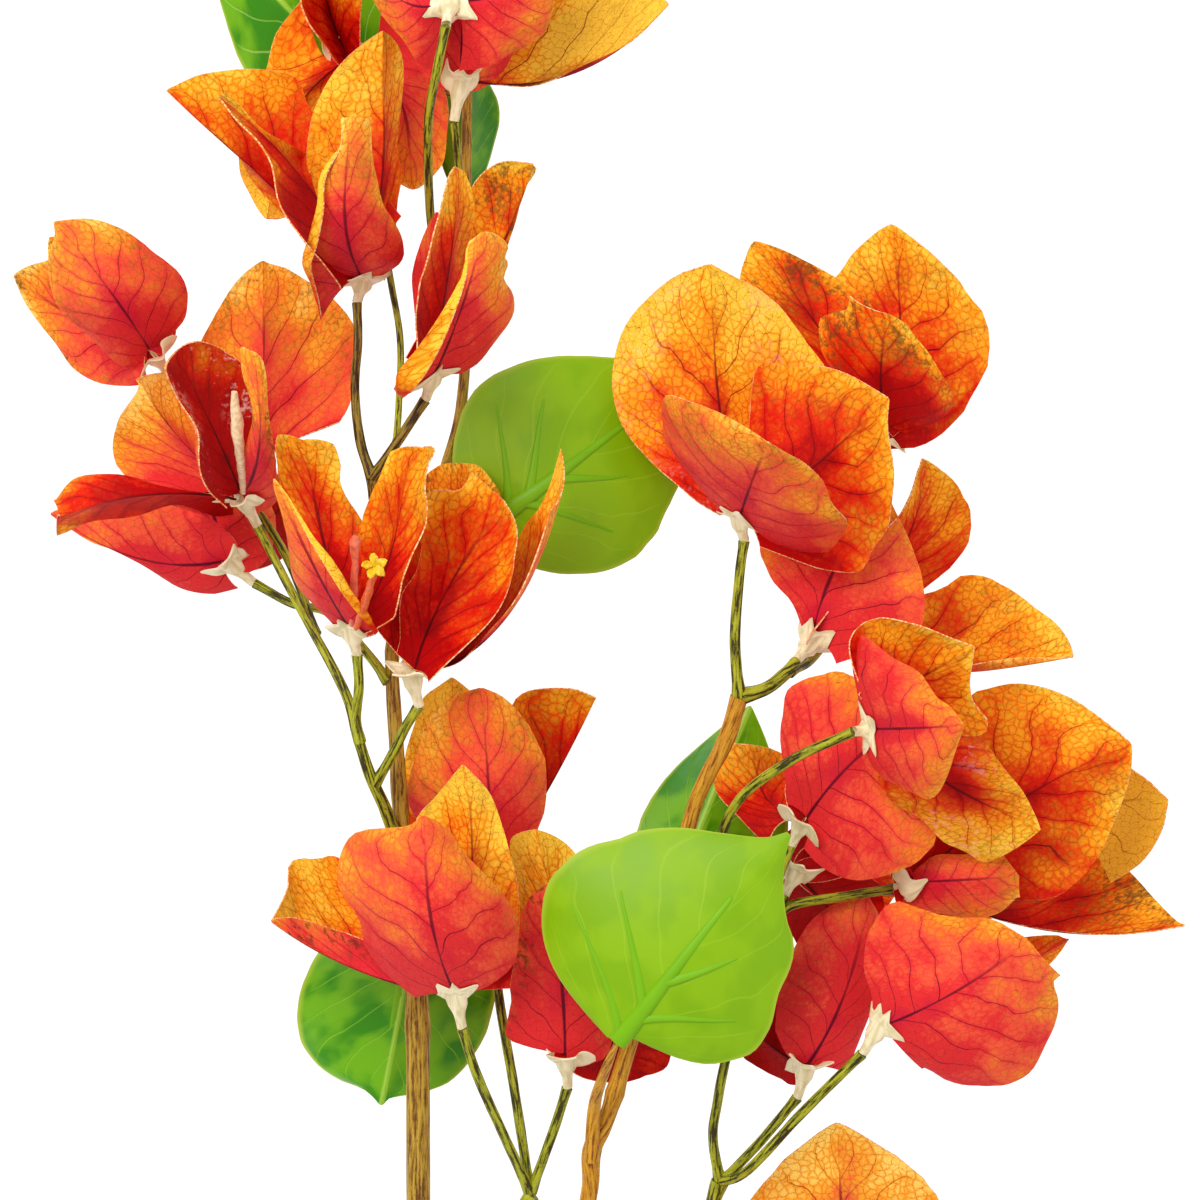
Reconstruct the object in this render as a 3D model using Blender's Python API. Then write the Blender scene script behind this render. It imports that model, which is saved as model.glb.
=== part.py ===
import math

import bpy
from mathutils import Vector

for old in list(bpy.data.objects):
    bpy.data.objects.remove(old, do_unlink=True)

mm = 0.001
# The layout is counted in steps across and down from the top left corner of a
# square of 1200 steps, seen from straight above, with heights over the ground in mm.
sizes = {
    "step": 0.22 * mm,
    "middle": 600.0,
    "eye": 1500.0,
    "eye_height": 45.0,
    "bract_thick": 0.7 * mm,
    "leaf_thick": 0.8 * mm,
    "gap": 0.3 * mm,
    "neck_clear": 0.35 * mm,
    "neck_length": 0.7 * mm,
    "neck_radius": 1.1 * mm,
    "waist_radius": 1.3 * mm,
    "cup_radius": 2.7 * mm,
    "star_radius": 3.6 * mm,
    "star_height": 1.6 * mm,
    "bract_root": 1.7 * mm,
    "stalk_overlap": 2.5 * mm,
    "stalk_tip_radius": 0.6 * mm,
}
# How a blade is laid out: rows along it and columns in each half, its width where it starts,
# how pointed its tip is, and how far its base lobes reach back.
bract_form = {"rows": 4, "half_rows": 2, "start": 0.36, "point": 0.85, "lobe": 0.17,
              "thick": sizes["bract_thick"]}
leaf_form = {"rows": 6, "half_rows": 2, "start": 0.45, "point": 0.95, "lobe": 0.35,
             "thick": sizes["leaf_thick"]}
thick_sides, thin_sides = 8, 5
colors = {
    "brown": (0.32, 0.2, 0.06),
    "olive": (0.18, 0.2, 0.03),
    "green": (0.2, 0.5, 0.02),
    "orange": (0.85, 0.16, 0.03),
}
stems = {
    "main_stem": {
        "course": [(438, 1560, 3), (430, 1400, 9), (419, 1220, 20), (417, 1000, 28), (404, 850, 31),
            (396, 740, 32), (393, 640, 30), (412, 560, 24), (445, 470, 20), (464, 380, 20),
            (466, 180, 22), (468, 60, 22), (470, -100, 24)],
        "half": [13, 13, 12.5, 12, 9, 7.5, 7, 6.5, 6, 5.5, 5.5, 5, 4],
        "from": [],
    },
    "left_stem": {
        "course": [(398, 842, 32), (384, 806, 38), (370, 775, 42), (358, 738, 44), (344, 690, 44),
            (299, 606, 38), (258, 527, 31)],
        "half": [7, 6.5, 6, 5.5, 5, 4.5, 4.5],
        "from": ["main_stem"],
    },
    "twig_far_left": {
        "course": [(316, 634, 39), (291, 566, 28), (262, 518, 24), (225, 475, 20), (192, 428, 21),
            (168, 374, 30)],
        "half": [4.5, 4.5, 4.5, 4.5, 4.5, 4.5],
        "from": ["left_stem"],
    },
    "twig_left_low": {
        "course": [(388, 682, 32), (370, 657, 30), (330, 614, 28), (293, 604, 28), (254, 583, 28)],
        "half": [5, 5, 4.5, 4.5, 4.5],
        "from": ["main_stem"],
    },
    "twig_centre_left": {
        "course": [(360, 742, 44), (356, 718, 46), (359, 685, 48), (357, 655, 50)],
        "half": [5, 5, 5, 5],
        "from": ["left_stem"],
    },
    "twig_centre_right": {
        "course": [(375, 784, 41), (392, 755, 45), (405, 728, 48), (418, 707, 50)],
        "half": [5, 5, 5, 5],
        "from": ["left_stem", "twig_centre_left"],
    },
    "upper_stem": {
        "course": [(396, 612, 27), (384, 560, 36), (375, 510, 42), (372, 478, 45)],
        "half": [6, 6, 5.5, 5.5],
        "from": ["main_stem"],
    },
    "twig_upper_left": {
        "course": [(372, 478, 45), (360, 440, 45), (355, 390, 45), (358, 340, 45), (357, 303, 44)],
        "half": [5, 5, 4.5, 4.5, 4.5],
        "from": ["upper_stem"],
    },
    "twig_upper_middle": {
        "course": [(372, 478, 45), (396, 444, 48), (425, 400, 50)],
        "half": [5, 5, 5],
        "from": ["upper_stem", "twig_upper_left"],
    },
    "twig_top_front": {
        "course": [(396, 445, 46), (399, 400, 38), (400, 337, 28), (388, 265, 18), (372, 150, 10),
            (358, 80, 10)],
        "half": [3.5, 3.5, 3.5, 3.5, 3.5, 3.5],
        "from": ["twig_upper_middle", "twig_upper_left"],
    },
    "twig_top_left": {
        "course": [(463, 360, 21), (444, 290, 24), (431, 222, 33), (428, 127, 52), (436, 75, 61),
            (446, 26, 66)],
        "half": [4.5, 4.5, 4.5, 4.5, 4.5, 4.5],
        "from": ["main_stem"],
    },
    "twig_top_right": {
        "course": [(465, 225, 22), (459, 170, 32), (454, 122, 38)],
        "half": [4, 4, 4],
        "from": ["main_stem"],
    },
    "middle_stem": {
        "course": [(432, 1425, 8), (500, 1370, 12), (570, 1270, 18), (589, 1195, 24), (592, 1150, 27),
            (606, 1120, 29), (626, 1055, 31), (660, 940, 32), (690, 822, 34), (704, 783, 36),
            (727, 738, 38), (739, 697, 40)],
        "half": [10, 9.5, 9, 8.5, 10, 8.5, 8.5, 8, 8, 8, 9, 8],
        "from": ["main_stem"],
    },
    "twig_large": {
        "course": [(739, 697, 40), (735, 640, 43), (739, 580, 45), (744, 541, 46)],
        "half": [6, 5.5, 5, 5],
        "from": ["middle_stem"],
    },
    "twig_right_upper": {
        "course": [(739, 697, 40), (765, 689, 38), (785, 674, 36), (796, 661, 34)],
        "half": [7, 7, 6.5, 5],
        "from": ["middle_stem", "twig_large"],
    },
    "twig_upper_right": {
        "course": [(790, 672, 35), (815, 655, 24), (850, 600, 10), (875, 520, 8), (880, 450, 14)],
        "half": [5, 5, 5, 5, 5],
        "from": ["twig_right_upper", "middle_stem"],
    },
    "right_stem": {
        "course": [(560, 1290, 16), (640, 1270, 14), (700, 1225, 17), (720, 1182, 20)],
        "half": [7, 7, 7, 8],
        "from": ["middle_stem"],
    },
    "riser_stem": {
        "course": [(720, 1182, 20), (713, 1140, 24), (716, 1110, 26), (727, 1055, 30), (750, 975, 31),
            (772, 925, 30), (784, 896, 28)],
        "half": [5.5, 5, 5, 5, 5, 5, 5],
        "from": ["right_stem"],
    },
    "twig_far_right": {
        "course": [(771, 926, 30), (790, 906, 29), (840, 897, 27), (893, 889, 25)],
        "half": [5, 5, 5, 5],
        "from": ["riser_stem"],
    },
    "twig_right_inner": {
        "course": [(757, 958, 31), (770, 905, 33), (791, 846, 34)],
        "half": [4.5, 4.5, 4.5],
        "from": ["riser_stem", "twig_far_right"],
    },
    "twig_right_front": {
        "course": [(729, 1050, 30), (716, 960, 32), (716, 870, 38), (735, 805, 46), (790, 761, 56),
            (853, 732, 62)],
        "half": [5, 5, 5, 5, 5, 5],
        "from": ["riser_stem", "twig_right_inner"],
    },
    "twig_right_low": {
        "course": [(720, 1182, 20), (748, 1170, 26), (805, 1110, 36), (862, 1054, 44)],
        "half": [5, 5, 5, 5],
        "from": ["right_stem", "riser_stem"],
    },
    "twig_low_right": {
        "course": [(722, 1182, 20), (760, 1142, 27), (797, 1098, 33)],
        "half": [5, 5, 5],
        "from": ["right_stem", "riser_stem", "twig_right_low"],
    },
    "twig_bottom_right": {
        "course": [(700, 1225, 17), (745, 1320, 12), (805, 1392, 12), (848, 1366, 16)],
        "half": [5, 5, 5, 5],
        "from": ["right_stem"],
    },
    "low_stem": {
        "course": [(424, 1335, 14), (475, 1275, 17), (532, 1195, 21)],
        "half": [8, 7.5, 7],
        "from": ["main_stem"],
    },
    "twig_low_left": {
        "course": [(530, 1192, 21), (506, 1140, 32), (477, 1075, 44), (462, 1028, 50)],
        "half": [5.5, 5, 5, 5],
        "from": ["low_stem"],
    },
    "twig_centre_low": {
        "course": [(530, 1192, 21), (515, 1093, 24), (497, 981, 24), (497, 905, 22)],
        "half": [5, 5, 5, 5],
        "from": ["low_stem", "twig_low_left"],
    },
    "twig_low_middle": {
        "course": [(531, 1192, 21), (553, 1132, 28), (567, 1088, 32)],
        "half": [5, 5, 5],
        "from": ["low_stem", "twig_centre_low", "twig_low_left"],
    },
}
blooms = {
    "top_left": {
        "on": "twig_top_left", "heart": (451, 4, 60),
        "bracts": [
            {"tip": (366, -40, 48), "middle": (405, 2, 60), "left": (392, -75, 46), "right": (402, 66, 50),
             "bow_left": 30, "bow_right": 30, "widest": 0.45},
            {"tip": (568, -48, 54), "middle": (512, -10, 63), "left": (518, 60, 54), "right": (488, -88, 52),
             "bow_left": 30, "bow_right": 30, "widest": 0.45},
            {"tip": (436, -165, 40), "middle": (442, -80, 54), "left": (510, -85, 42), "right": (378, -95, 42),
             "bow_left": 30, "bow_right": 30, "widest": 0.45},
        ],
    },
    "top_right": {
        "on": "twig_top_right", "heart": (460, 84, 40),
        "bracts": [
            {"tip": (668, 5, 44), "middle": (575, 73, 36), "left": (570, -20, 24), "right": (560, 38, 44),
             "bow_left": 30, "bow_right": 30, "widest": 0.45},
            {"tip": (480, -85, 36), "middle": (466, 0, 42), "left": (528, 5, 36), "right": (408, 5, 36),
             "bow_left": 40, "bow_right": 40, "widest": 0.45},
        ],
    },
    "top_front": {
        "on": "twig_top_front", "heart": (346, 56, 18),
        "bracts": [
            {"tip": (290, 238, 26), "middle": (285, 130, 26), "left": (345, 140, 18), "right": (232, 128, 24),
             "bow_left": 40, "bow_right": 40, "widest": 0.45},
            {"tip": (316, -70, 34), "middle": (325, -5, 22), "left": (303, -2, 44), "right": (356, -10, 36),
             "bow_left": 40, "bow_right": 40, "widest": 0.45},
            {"tip": (400, 184, 20), "middle": (402, 105, 27), "left": (450, 115, 24), "right": (345, 130, 21),
             "bow_left": 40, "bow_right": 40, "widest": 0.5},
        ],
    },
    "upper_left": {
        "on": "twig_upper_left", "heart": (362, 282, 47),
        "bracts": [
            {"tip": (167, 98, 52), "middle": (262, 178, 42), "left": (258, 182, 32), "right": (322, 98, 36),
             "bow_left": 30, "bow_right": 40, "widest": 0.5},
            {"tip": (221, 99, 72), "middle": (290, 190, 58), "left": (268, 182, 74), "right": (312, 165, 40),
             "bow_left": 40, "bow_right": 40, "widest": 0.5},
            {"tip": (373, 33, 42), "middle": (384, 155, 45), "left": (304, 150, 46), "right": (406, 120, 36),
             "bow_left": 40, "bow_right": 40, "widest": 0.5},
            {"tip": (357, 117, 78), "middle": (345, 212, 76), "left": (404, 225, 58), "right": (306, 262, 66),
             "bow_left": 50, "bow_right": 50, "widest": 0.4},
        ],
    },
    "upper_middle": {
        "on": "twig_upper_middle", "heart": (432, 379, 54),
        "bracts": [
            {"tip": (460, 167, 58), "middle": (448, 275, 54), "left": (420, 270, 66), "right": (478, 260, 42),
             "bow_left": 50, "bow_right": 40, "widest": 0.5},
            {"tip": (534, 165, 40), "middle": (498, 255, 38), "left": (470, 215, 42), "right": (512, 240, 30),
             "bow_left": 30, "bow_right": 40, "widest": 0.6},
            {"tip": (478, 231, 80), "middle": (462, 305, 78), "left": (514, 300, 60), "right": (400, 345, 66),
             "bow_left": 50, "bow_right": 70, "widest": 0.42},
            {"tip": (440, 212, 40), "middle": (430, 285, 44), "left": (411, 265, 38), "right": (462, 262, 40),
             "bow_left": 30, "bow_right": 30, "widest": 0.5},
        ],
    },
    "far_left": {
        "on": "twig_far_left", "heart": (153, 354, 38),
        "bracts": [
            {"tip": (55, 222, 54), "middle": (107, 287, 60), "left": (176, 262, 46), "right": (62, 338, 46),
             "bow_left": 40, "bow_right": 40, "widest": 0.45},
            {"tip": (14, 276, 26), "middle": (82, 322, 24), "left": (95, 262, 14), "right": (78, 370, 22),
             "bow_left": 40, "bow_right": 40, "widest": 0.45},
            {"tip": (47, 237, 18), "middle": (100, 290, 18), "left": (70, 320, 10), "right": (150, 262, 10),
             "bow_left": 30, "bow_right": 30, "widest": 0.45},
        ],
    },
    "left_front": {
        "on": "left_stem", "heart": (243, 499, 39),
        "bracts": [
            {"tip": (141, 377, 44), "middle": (174, 432, 42), "left": (106, 440, 34), "right": (212, 388, 30),
             "bow_left": 40, "bow_right": 40, "widest": 0.45},
            {"tip": (165, 351, 66), "middle": (205, 424, 52), "left": (182, 420, 70), "right": (248, 395, 48),
             "bow_left": 50, "bow_right": 40, "widest": 0.5},
            {"tip": (256, 358, 70), "middle": (264, 440, 72), "left": (284, 470, 58), "right": (244, 450, 58),
             "bow_left": 50, "bow_right": 50, "widest": 0.4},
            {"tip": (68, 532, 60), "middle": (150, 498, 64), "left": (130, 520, 44), "right": (118, 474, 58),
             "bow_left": 40, "bow_right": 40, "widest": 0.55},
            {"tip": (257, 259, 24), "middle": (263, 375, 26), "left": (194, 372, 18), "right": (360, 352, 14),
             "bow_left": 40, "bow_right": 40, "widest": 0.5},
        ],
    },
    "left_low": {
        "on": "twig_left_low", "heart": (229, 563, 32),
        "bracts": [
            {"tip": (51, 514, 22), "middle": (138, 558, 28), "left": (150, 498, 32), "right": (160, 596, 18),
             "bow_left": 40, "bow_right": 40, "widest": 0.5},
            {"tip": (185, 400, 12), "middle": (205, 485, 20), "left": (270, 500, 14), "right": (165, 512, 16),
             "bow_left": 40, "bow_right": 40, "widest": 0.45},
            {"tip": (304, 478, 6), "middle": (270, 520, 10), "left": (236, 488, 6), "right": (298, 545, 6),
             "bow_left": 20, "bow_right": 20, "widest": 0.45},
        ],
    },
    "centre_left": {
        "on": "twig_centre_left", "heart": (352, 633, 54),
        "bracts": [
            {"tip": (300, 437, 44), "middle": (322, 535, 44), "left": (282, 500, 40), "right": (364, 505, 42),
             "bow_left": 40, "bow_right": 40, "widest": 0.55},
            {"tip": (405, 444, 64), "middle": (392, 550, 58), "left": (358, 520, 46), "right": (430, 545, 68),
             "bow_left": 50, "bow_right": 60, "widest": 0.5},
            {"tip": (274, 479, 70), "middle": (312, 562, 76), "left": (368, 590, 76), "right": (284, 575, 58),
             "bow_left": 50, "bow_right": 40, "widest": 0.42},
        ],
    },
    "centre_right": {
        "on": "twig_centre_right", "heart": (411, 677, 54),
        "bracts": [
            {"tip": (504, 506, 54), "middle": (446, 592, 46), "left": (396, 545, 44), "right": (512, 590, 54),
             "bow_left": 50, "bow_right": 50, "widest": 0.5},
            {"tip": (550, 511, 58), "middle": (497, 628, 52), "left": (502, 570, 36), "right": (474, 632, 70),
             "bow_left": 50, "bow_right": 50, "widest": 0.45},
            {"tip": (478, 462, 36), "middle": (450, 560, 38), "left": (412, 505, 32), "right": (505, 520, 32),
             "bow_left": 40, "bow_right": 40, "widest": 0.55},
        ],
    },
    "centre_low": {
        "on": "twig_centre_low", "heart": (493, 878, 22),
        "bracts": [
            {"tip": (477, 693, 32), "middle": (489, 790, 36), "left": (552, 785, 26), "right": (408, 785, 26),
             "bow_left": 40, "bow_right": 40, "widest": 0.48},
            {"tip": (461, 679, 18), "middle": (455, 780, 16), "left": (400, 778, 12), "right": (520, 770, 10),
             "bow_left": 40, "bow_right": 40, "widest": 0.48},
            {"tip": (596, 698, 22), "middle": (549, 788, 12), "left": (500, 742, 16), "right": (530, 770, 3),
             "bow_left": 30, "bow_right": 30, "widest": 0.5},
        ],
    },
    "low_left": {
        "on": "twig_low_left", "heart": (456, 1000, 54),
        "bracts": [
            {"tip": (426, 824, 70), "middle": (430, 912, 76), "left": (524, 925, 58), "right": (338, 890, 60),
             "bow_left": 40, "bow_right": 40, "widest": 0.45},
            {"tip": (272, 922, 52), "middle": (352, 968, 46), "left": (345, 930, 62), "right": (322, 856, 30),
             "bow_left": 50, "bow_right": 50, "widest": 0.5},
            {"tip": (463, 765, 54), "middle": (472, 868, 52), "left": (410, 845, 46), "right": (518, 865, 50),
             "bow_left": 40, "bow_right": 40, "widest": 0.5},
        ],
    },
    "low_middle": {
        "on": "twig_low_middle", "heart": (566, 1060, 36),
        "bracts": [
            {"tip": (560, 884, 42), "middle": (560, 965, 40), "left": (622, 985, 34), "right": (500, 1000, 38),
             "bow_left": 40, "bow_right": 40, "widest": 0.42},
            {"tip": (530, 832, 38), "middle": (560, 935, 36), "left": (500, 892, 33), "right": (606, 910, 28),
             "bow_left": 40, "bow_right": 40, "widest": 0.5},
            {"tip": (680, 1012, 12), "middle": (638, 1035, 20), "left": (612, 965, 12), "right": (652, 1075, 18),
             "bow_left": 30, "bow_right": 30, "widest": 0.45},
        ],
    },
    "large": {
        "on": "twig_large", "heart": (739, 520, 50),
        "bracts": [
            {"tip": (713, 266, 38), "middle": (718, 395, 34), "left": (608, 390, 28), "right": (826, 385, 26),
             "bow_left": 40, "bow_right": 40, "widest": 0.5},
            {"tip": (885, 398, 50), "middle": (815, 466, 44), "left": (752, 372, 36), "right": (878, 545, 42),
             "bow_left": 40, "bow_right": 40, "widest": 0.5},
            {"tip": (768, 442, 90), "middle": (752, 482, 72), "left": (850, 520, 62), "right": (656, 415, 66),
             "bow_left": 50, "bow_right": 50, "widest": 0.42},
        ],
    },
    "upper_right": {
        "on": "twig_upper_right", "heart": (886, 432, 20),
        "bracts": [
            {"tip": (754, 244, 16), "middle": (822, 332, 12), "left": (752, 335, 4), "right": (872, 308, 8),
             "bow_left": 40, "bow_right": 40, "widest": 0.5},
            {"tip": (887, 230, 12), "middle": (900, 325, 6), "left": (832, 300, 2), "right": (990, 335, 2),
             "bow_left": 40, "bow_right": 40, "widest": 0.5},
            {"tip": (890, 311, 38), "middle": (881, 370, 34), "left": (960, 390, 24), "right": (810, 345, 24),
             "bow_left": 40, "bow_right": 40, "widest": 0.42},
        ],
    },
    "right_upper": {
        "on": "twig_right_upper", "heart": (809, 645, 32),
        "bracts": [
            {"tip": (880, 498, 16), "middle": (836, 566, 32), "left": (928, 598, 32), "right": (754, 558, 28),
             "bow_left": 40, "bow_right": 40, "widest": 0.48},
            {"tip": (922, 459, 20), "middle": (898, 555, 14), "left": (890, 525, 26), "right": (968, 540, 6),
             "bow_left": 40, "bow_right": 40, "widest": 0.5},
            {"tip": (1064, 648, 20), "middle": (955, 672, 12), "left": (1005, 580, 2), "right": (990, 592, 28),
             "bow_left": 40, "bow_right": 40, "widest": 0.65},
        ],
    },
    "right_front": {
        "on": "twig_right_front", "heart": (869, 729, 60),
        "bracts": [
            {"tip": (968, 725, 88), "middle": (918, 728, 80), "left": (905, 795, 62), "right": (872, 634, 64),
             "bow_left": 50, "bow_right": 50, "widest": 0.42},
            {"tip": (969, 657, 66), "middle": (915, 682, 56), "left": (880, 618, 62), "right": (975, 728, 52),
             "bow_left": 40, "bow_right": 40, "widest": 0.5},
            {"tip": (1038, 823, 42), "middle": (962, 792, 52), "left": (905, 826, 44), "right": (1010, 758, 46),
             "bow_left": 40, "bow_right": 40, "widest": 0.5},
        ],
    },
    "right_inner": {
        "on": "twig_right_inner", "heart": (802, 823, 38),
        "bracts": [
            {"tip": (905, 722, 40), "middle": (850, 765, 46), "left": (912, 868, 40), "right": (795, 688, 40),
             "bow_left": 40, "bow_right": 40, "widest": 0.5},
            {"tip": (757, 744, 24), "middle": (764, 795, 24), "left": (716, 772, 18), "right": (802, 768, 16),
             "bow_left": 40, "bow_right": 40, "widest": 0.68},
            {"tip": (862, 738, 28), "middle": (832, 780, 31), "left": (800, 742, 27), "right": (880, 792, 25),
             "bow_left": 30, "bow_right": 30, "widest": 0.5},
        ],
    },
    "right_small": {
        "on": "riser_stem", "heart": (796, 872, 30),
        "bracts": [
            {"tip": (845, 800, 16), "middle": (815, 845, 22), "left": (785, 838, 18), "right": (872, 855, 12),
             "bow_left": 40, "bow_right": 40, "widest": 0.5},
            {"tip": (872, 955, 16), "middle": (835, 915, 20), "left": (880, 885, 12), "right": (800, 950, 14),
             "bow_left": 40, "bow_right": 40, "widest": 0.5},
            {"tip": (900, 860, 6), "middle": (850, 868, 12), "left": (850, 830, 4), "right": (880, 910, 4),
             "bow_left": 30, "bow_right": 30, "widest": 0.5},
        ],
    },
    "far_right": {
        "on": "twig_far_right", "heart": (910, 882, 28),
        "bracts": [
            {"tip": (1131, 738, 34), "middle": (1020, 800, 32), "left": (955, 698, 26), "right": (1078, 888, 26),
             "bow_left": 40, "bow_right": 40, "widest": 0.5},
            {"tip": (1016, 850, 38), "middle": (960, 880, 38), "left": (950, 920, 31), "right": (932, 848, 26),
             "bow_left": 40, "bow_right": 40, "widest": 0.5},
            {"tip": (1184, 926, 14), "middle": (1045, 930, 10), "left": (1112, 852, 2), "right": (1080, 862, 24),
             "bow_left": 40, "bow_right": 40, "widest": 0.5},
            {"tip": (1169, 773, 12), "middle": (1060, 815, 8), "left": (1030, 745, 2), "right": (1080, 900, 2),
             "bow_left": 40, "bow_right": 40, "widest": 0.6},
        ],
    },
    "right_low": {
        "on": "twig_right_low", "heart": (876, 1030, 46),
        "bracts": [
            {"tip": (1026, 934, 52), "middle": (962, 988, 58), "left": (1014, 1080, 46), "right": (878, 918, 46),
             "bow_left": 40, "bow_right": 40, "widest": 0.5},
            {"tip": (1098, 920, 3), "middle": (990, 985, 14), "left": (960, 930, 8), "right": (1020, 1030, 8),
             "bow_left": 40, "bow_right": 40, "widest": 0.5},
        ],
    },
    "low_right": {
        "on": "twig_low_right", "heart": (806, 1070, 36),
        "bracts": [
            {"tip": (868, 898, 22), "middle": (846, 990, 34), "left": (898, 1003, 22), "right": (772, 985, 32),
             "bow_left": 40, "bow_right": 40, "widest": 0.5},
            {"tip": (705, 975, 20), "middle": (752, 1030, 28), "left": (752, 1062, 24), "right": (770, 980, 20),
             "bow_left": 40, "bow_right": 40, "widest": 0.5},
        ],
    },
    "bottom_right": {
        "on": "twig_bottom_right", "heart": (846, 1338, 22),
        "bracts": [
            {"tip": (836, 1124, 30), "middle": (842, 1222, 24), "left": (742, 1228, 16), "right": (946, 1220, 18),
             "bow_left": 40, "bow_right": 40, "widest": 0.5},
            {"tip": (715, 1252, 40), "middle": (780, 1292, 42), "left": (800, 1240, 34), "right": (745, 1345, 32),
             "bow_left": 40, "bow_right": 40, "widest": 0.5},
            {"tip": (985, 1330, 30), "middle": (915, 1325, 38), "left": (915, 1390, 26), "right": (925, 1262, 28),
             "bow_left": 40, "bow_right": 40, "widest": 0.5},
        ],
    },
}
leaves = {
    "top": {
        "stalk": [(467, 98, 22), (440, 90, 18), (400, 80, 10), (345, 66, 5)],
        "half": [4, 4, 4, 4], "from": "main_stem",
        "base": (345, 66, 5), "tip": (205, -80, 6), "middle": (280, 0, 12),
        "left": (255, 85, 4), "right": (350, -95, 4),
        "bow_left": 20, "bow_right": 20, "widest": 0.4,
    },
    "small": {
        "stalk": [(466, 212, 22), (462, 182, 16)],
        "half": [3.5, 3.5], "from": "main_stem",
        "base": (462, 182, 16), "tip": (470, 58, 8), "middle": (466, 115, 13),
        "left": (438, 120, 9), "right": (498, 120, 5),
        "bow_left": 20, "bow_right": 20, "widest": 0.4,
    },
    "middle": {
        "stalk": [(440, 485, 20), (470, 515, 25), (502, 513, 26)],
        "half": [5, 5, 5], "from": "main_stem",
        "base": (502, 513, 26), "tip": (705, 368, 14), "middle": (585, 458, 26),
        "left": (640, 552, 18), "right": (500, 370, 24),
        "bow_left": 20, "bow_right": 20, "widest": 0.36,
    },
    "front": {
        "stalk": [(592, 1160, 28), (594, 1110, 34), (601, 1082, 44), (617, 1042, 58)],
        "half": [8, 7, 6, 5], "from": "middle_stem",
        "base": (617, 1042, 58), "tip": (789, 834, 62), "middle": (696, 950, 64),
        "left": (790, 1020, 56), "right": (565, 862, 56),
        "bow_left": 20, "bow_right": 20, "widest": 0.38,
    },
    "back": {
        "stalk": [(657, 955, 32), (666, 925, 20), (672, 905, 10)],
        "half": [4, 4, 4], "from": "middle_stem",
        "base": (672, 905, 10), "tip": (750, 706, 8), "middle": (705, 815, 9),
        "left": (642, 815, 3), "right": (785, 850, 2),
        "bow_left": 20, "bow_right": 20, "widest": 0.4,
    },
    "low": {
        "stalk": [(412, 925, 30), (414, 930, 20), (412, 935, 14)],
        "half": [4, 4, 4], "from": "main_stem",
        "base": (413, 935, 14), "tip": (381, 1105, 10), "middle": (398, 1020, 14),
        "left": (494, 1015, 6), "right": (294, 1010, 6),
        "bow_left": 20, "bow_right": 20, "widest": 0.4,
    },
}


def spot(place):
    """A place of the layout in metres, steps at its own height being larger lower down."""
    reach = (sizes["eye"] - (place[2] - sizes["eye_height"])) / sizes["eye"]
    across = (place[0] - sizes["middle"]) * sizes["step"] * reach
    along = (sizes["middle"] - place[1]) * sizes["step"] * reach
    return Vector((across, along, place[2] * mm))


def rounded(course, steps):
    """Even curve through a course of places."""
    if len(course) < 3:
        return [Vector(p) for p in course]
    ends = [2 * course[0] - course[1]] + course + [2 * course[-1] - course[-2]]
    line = []
    for i in range(1, len(ends) - 2):
        a, b, c, d = ends[i - 1:i + 3]
        for k in range(steps):
            t = k / steps
            line.append(0.5 * (2 * b + (c - a) * t + (2 * a - 5 * b + 4 * c - d) * t * t
                               + (3 * b - a - 3 * c + d) * t ** 3))
    line.append(course[-1].copy())
    return line


def spread(values, count):
    """Values dealt out evenly over a number of rings."""
    found = []
    for i in range(count):
        t = i / (count - 1) * (len(values) - 1)
        k = min(int(t), len(values) - 2)
        found.append(values[k] + (values[k + 1] - values[k]) * (t - k))
    return found


def mesh_object(name, corners, faces):
    mesh = bpy.data.meshes.new(name)
    mesh.from_pydata([tuple(c) for c in corners], [], faces)
    mesh.validate()
    thing = bpy.data.objects.new(name, mesh)
    bpy.context.scene.collection.objects.link(thing)
    return thing


def tube(name, line, radii, sides, longer=0.0):
    """Round bar along a line, flat at both ends."""
    line = [p.copy() for p in line]
    if longer:
        line[0] -= (line[1] - line[0]).normalized() * longer
        line[-1] += (line[-1] - line[-2]).normalized() * longer
    corners, faces = [], []
    side = None
    for i, place in enumerate(line):
        way = (line[min(i + 1, len(line) - 1)] - line[max(i - 1, 0)]).normalized()
        if side is None:
            side = way.cross(Vector((0.13, 0.21, 1.0))).normalized()
        side = (side - way * side.dot(way)).normalized()
        other = way.cross(side)
        for k in range(sides):
            turn = 2 * math.pi * k / sides
            corners.append(place + radii[i] * (math.cos(turn) * side + math.sin(turn) * other))
    for i in range(len(line) - 1):
        for k in range(sides):
            a, b = i * sides + k, i * sides + (k + 1) % sides
            faces.append((a, b, b + sides, a + sides))
    faces.append(tuple(reversed(range(sides))))
    faces.append(tuple((len(line) - 1) * sides + k for k in range(sides)))
    return mesh_object(name, corners, faces)


def outline(u, peak, start, point):
    """Half width along a blade, from its base at 0 to its tip at 1."""
    if u < peak:
        return start + (1 - start) * math.sin(u / peak * math.pi / 2) ** 0.9
    t = (u - peak) / (1 - peak)
    return max(math.cos(t * math.pi / 2) ** point * (1 - 0.1 * t), 0.03)


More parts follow.
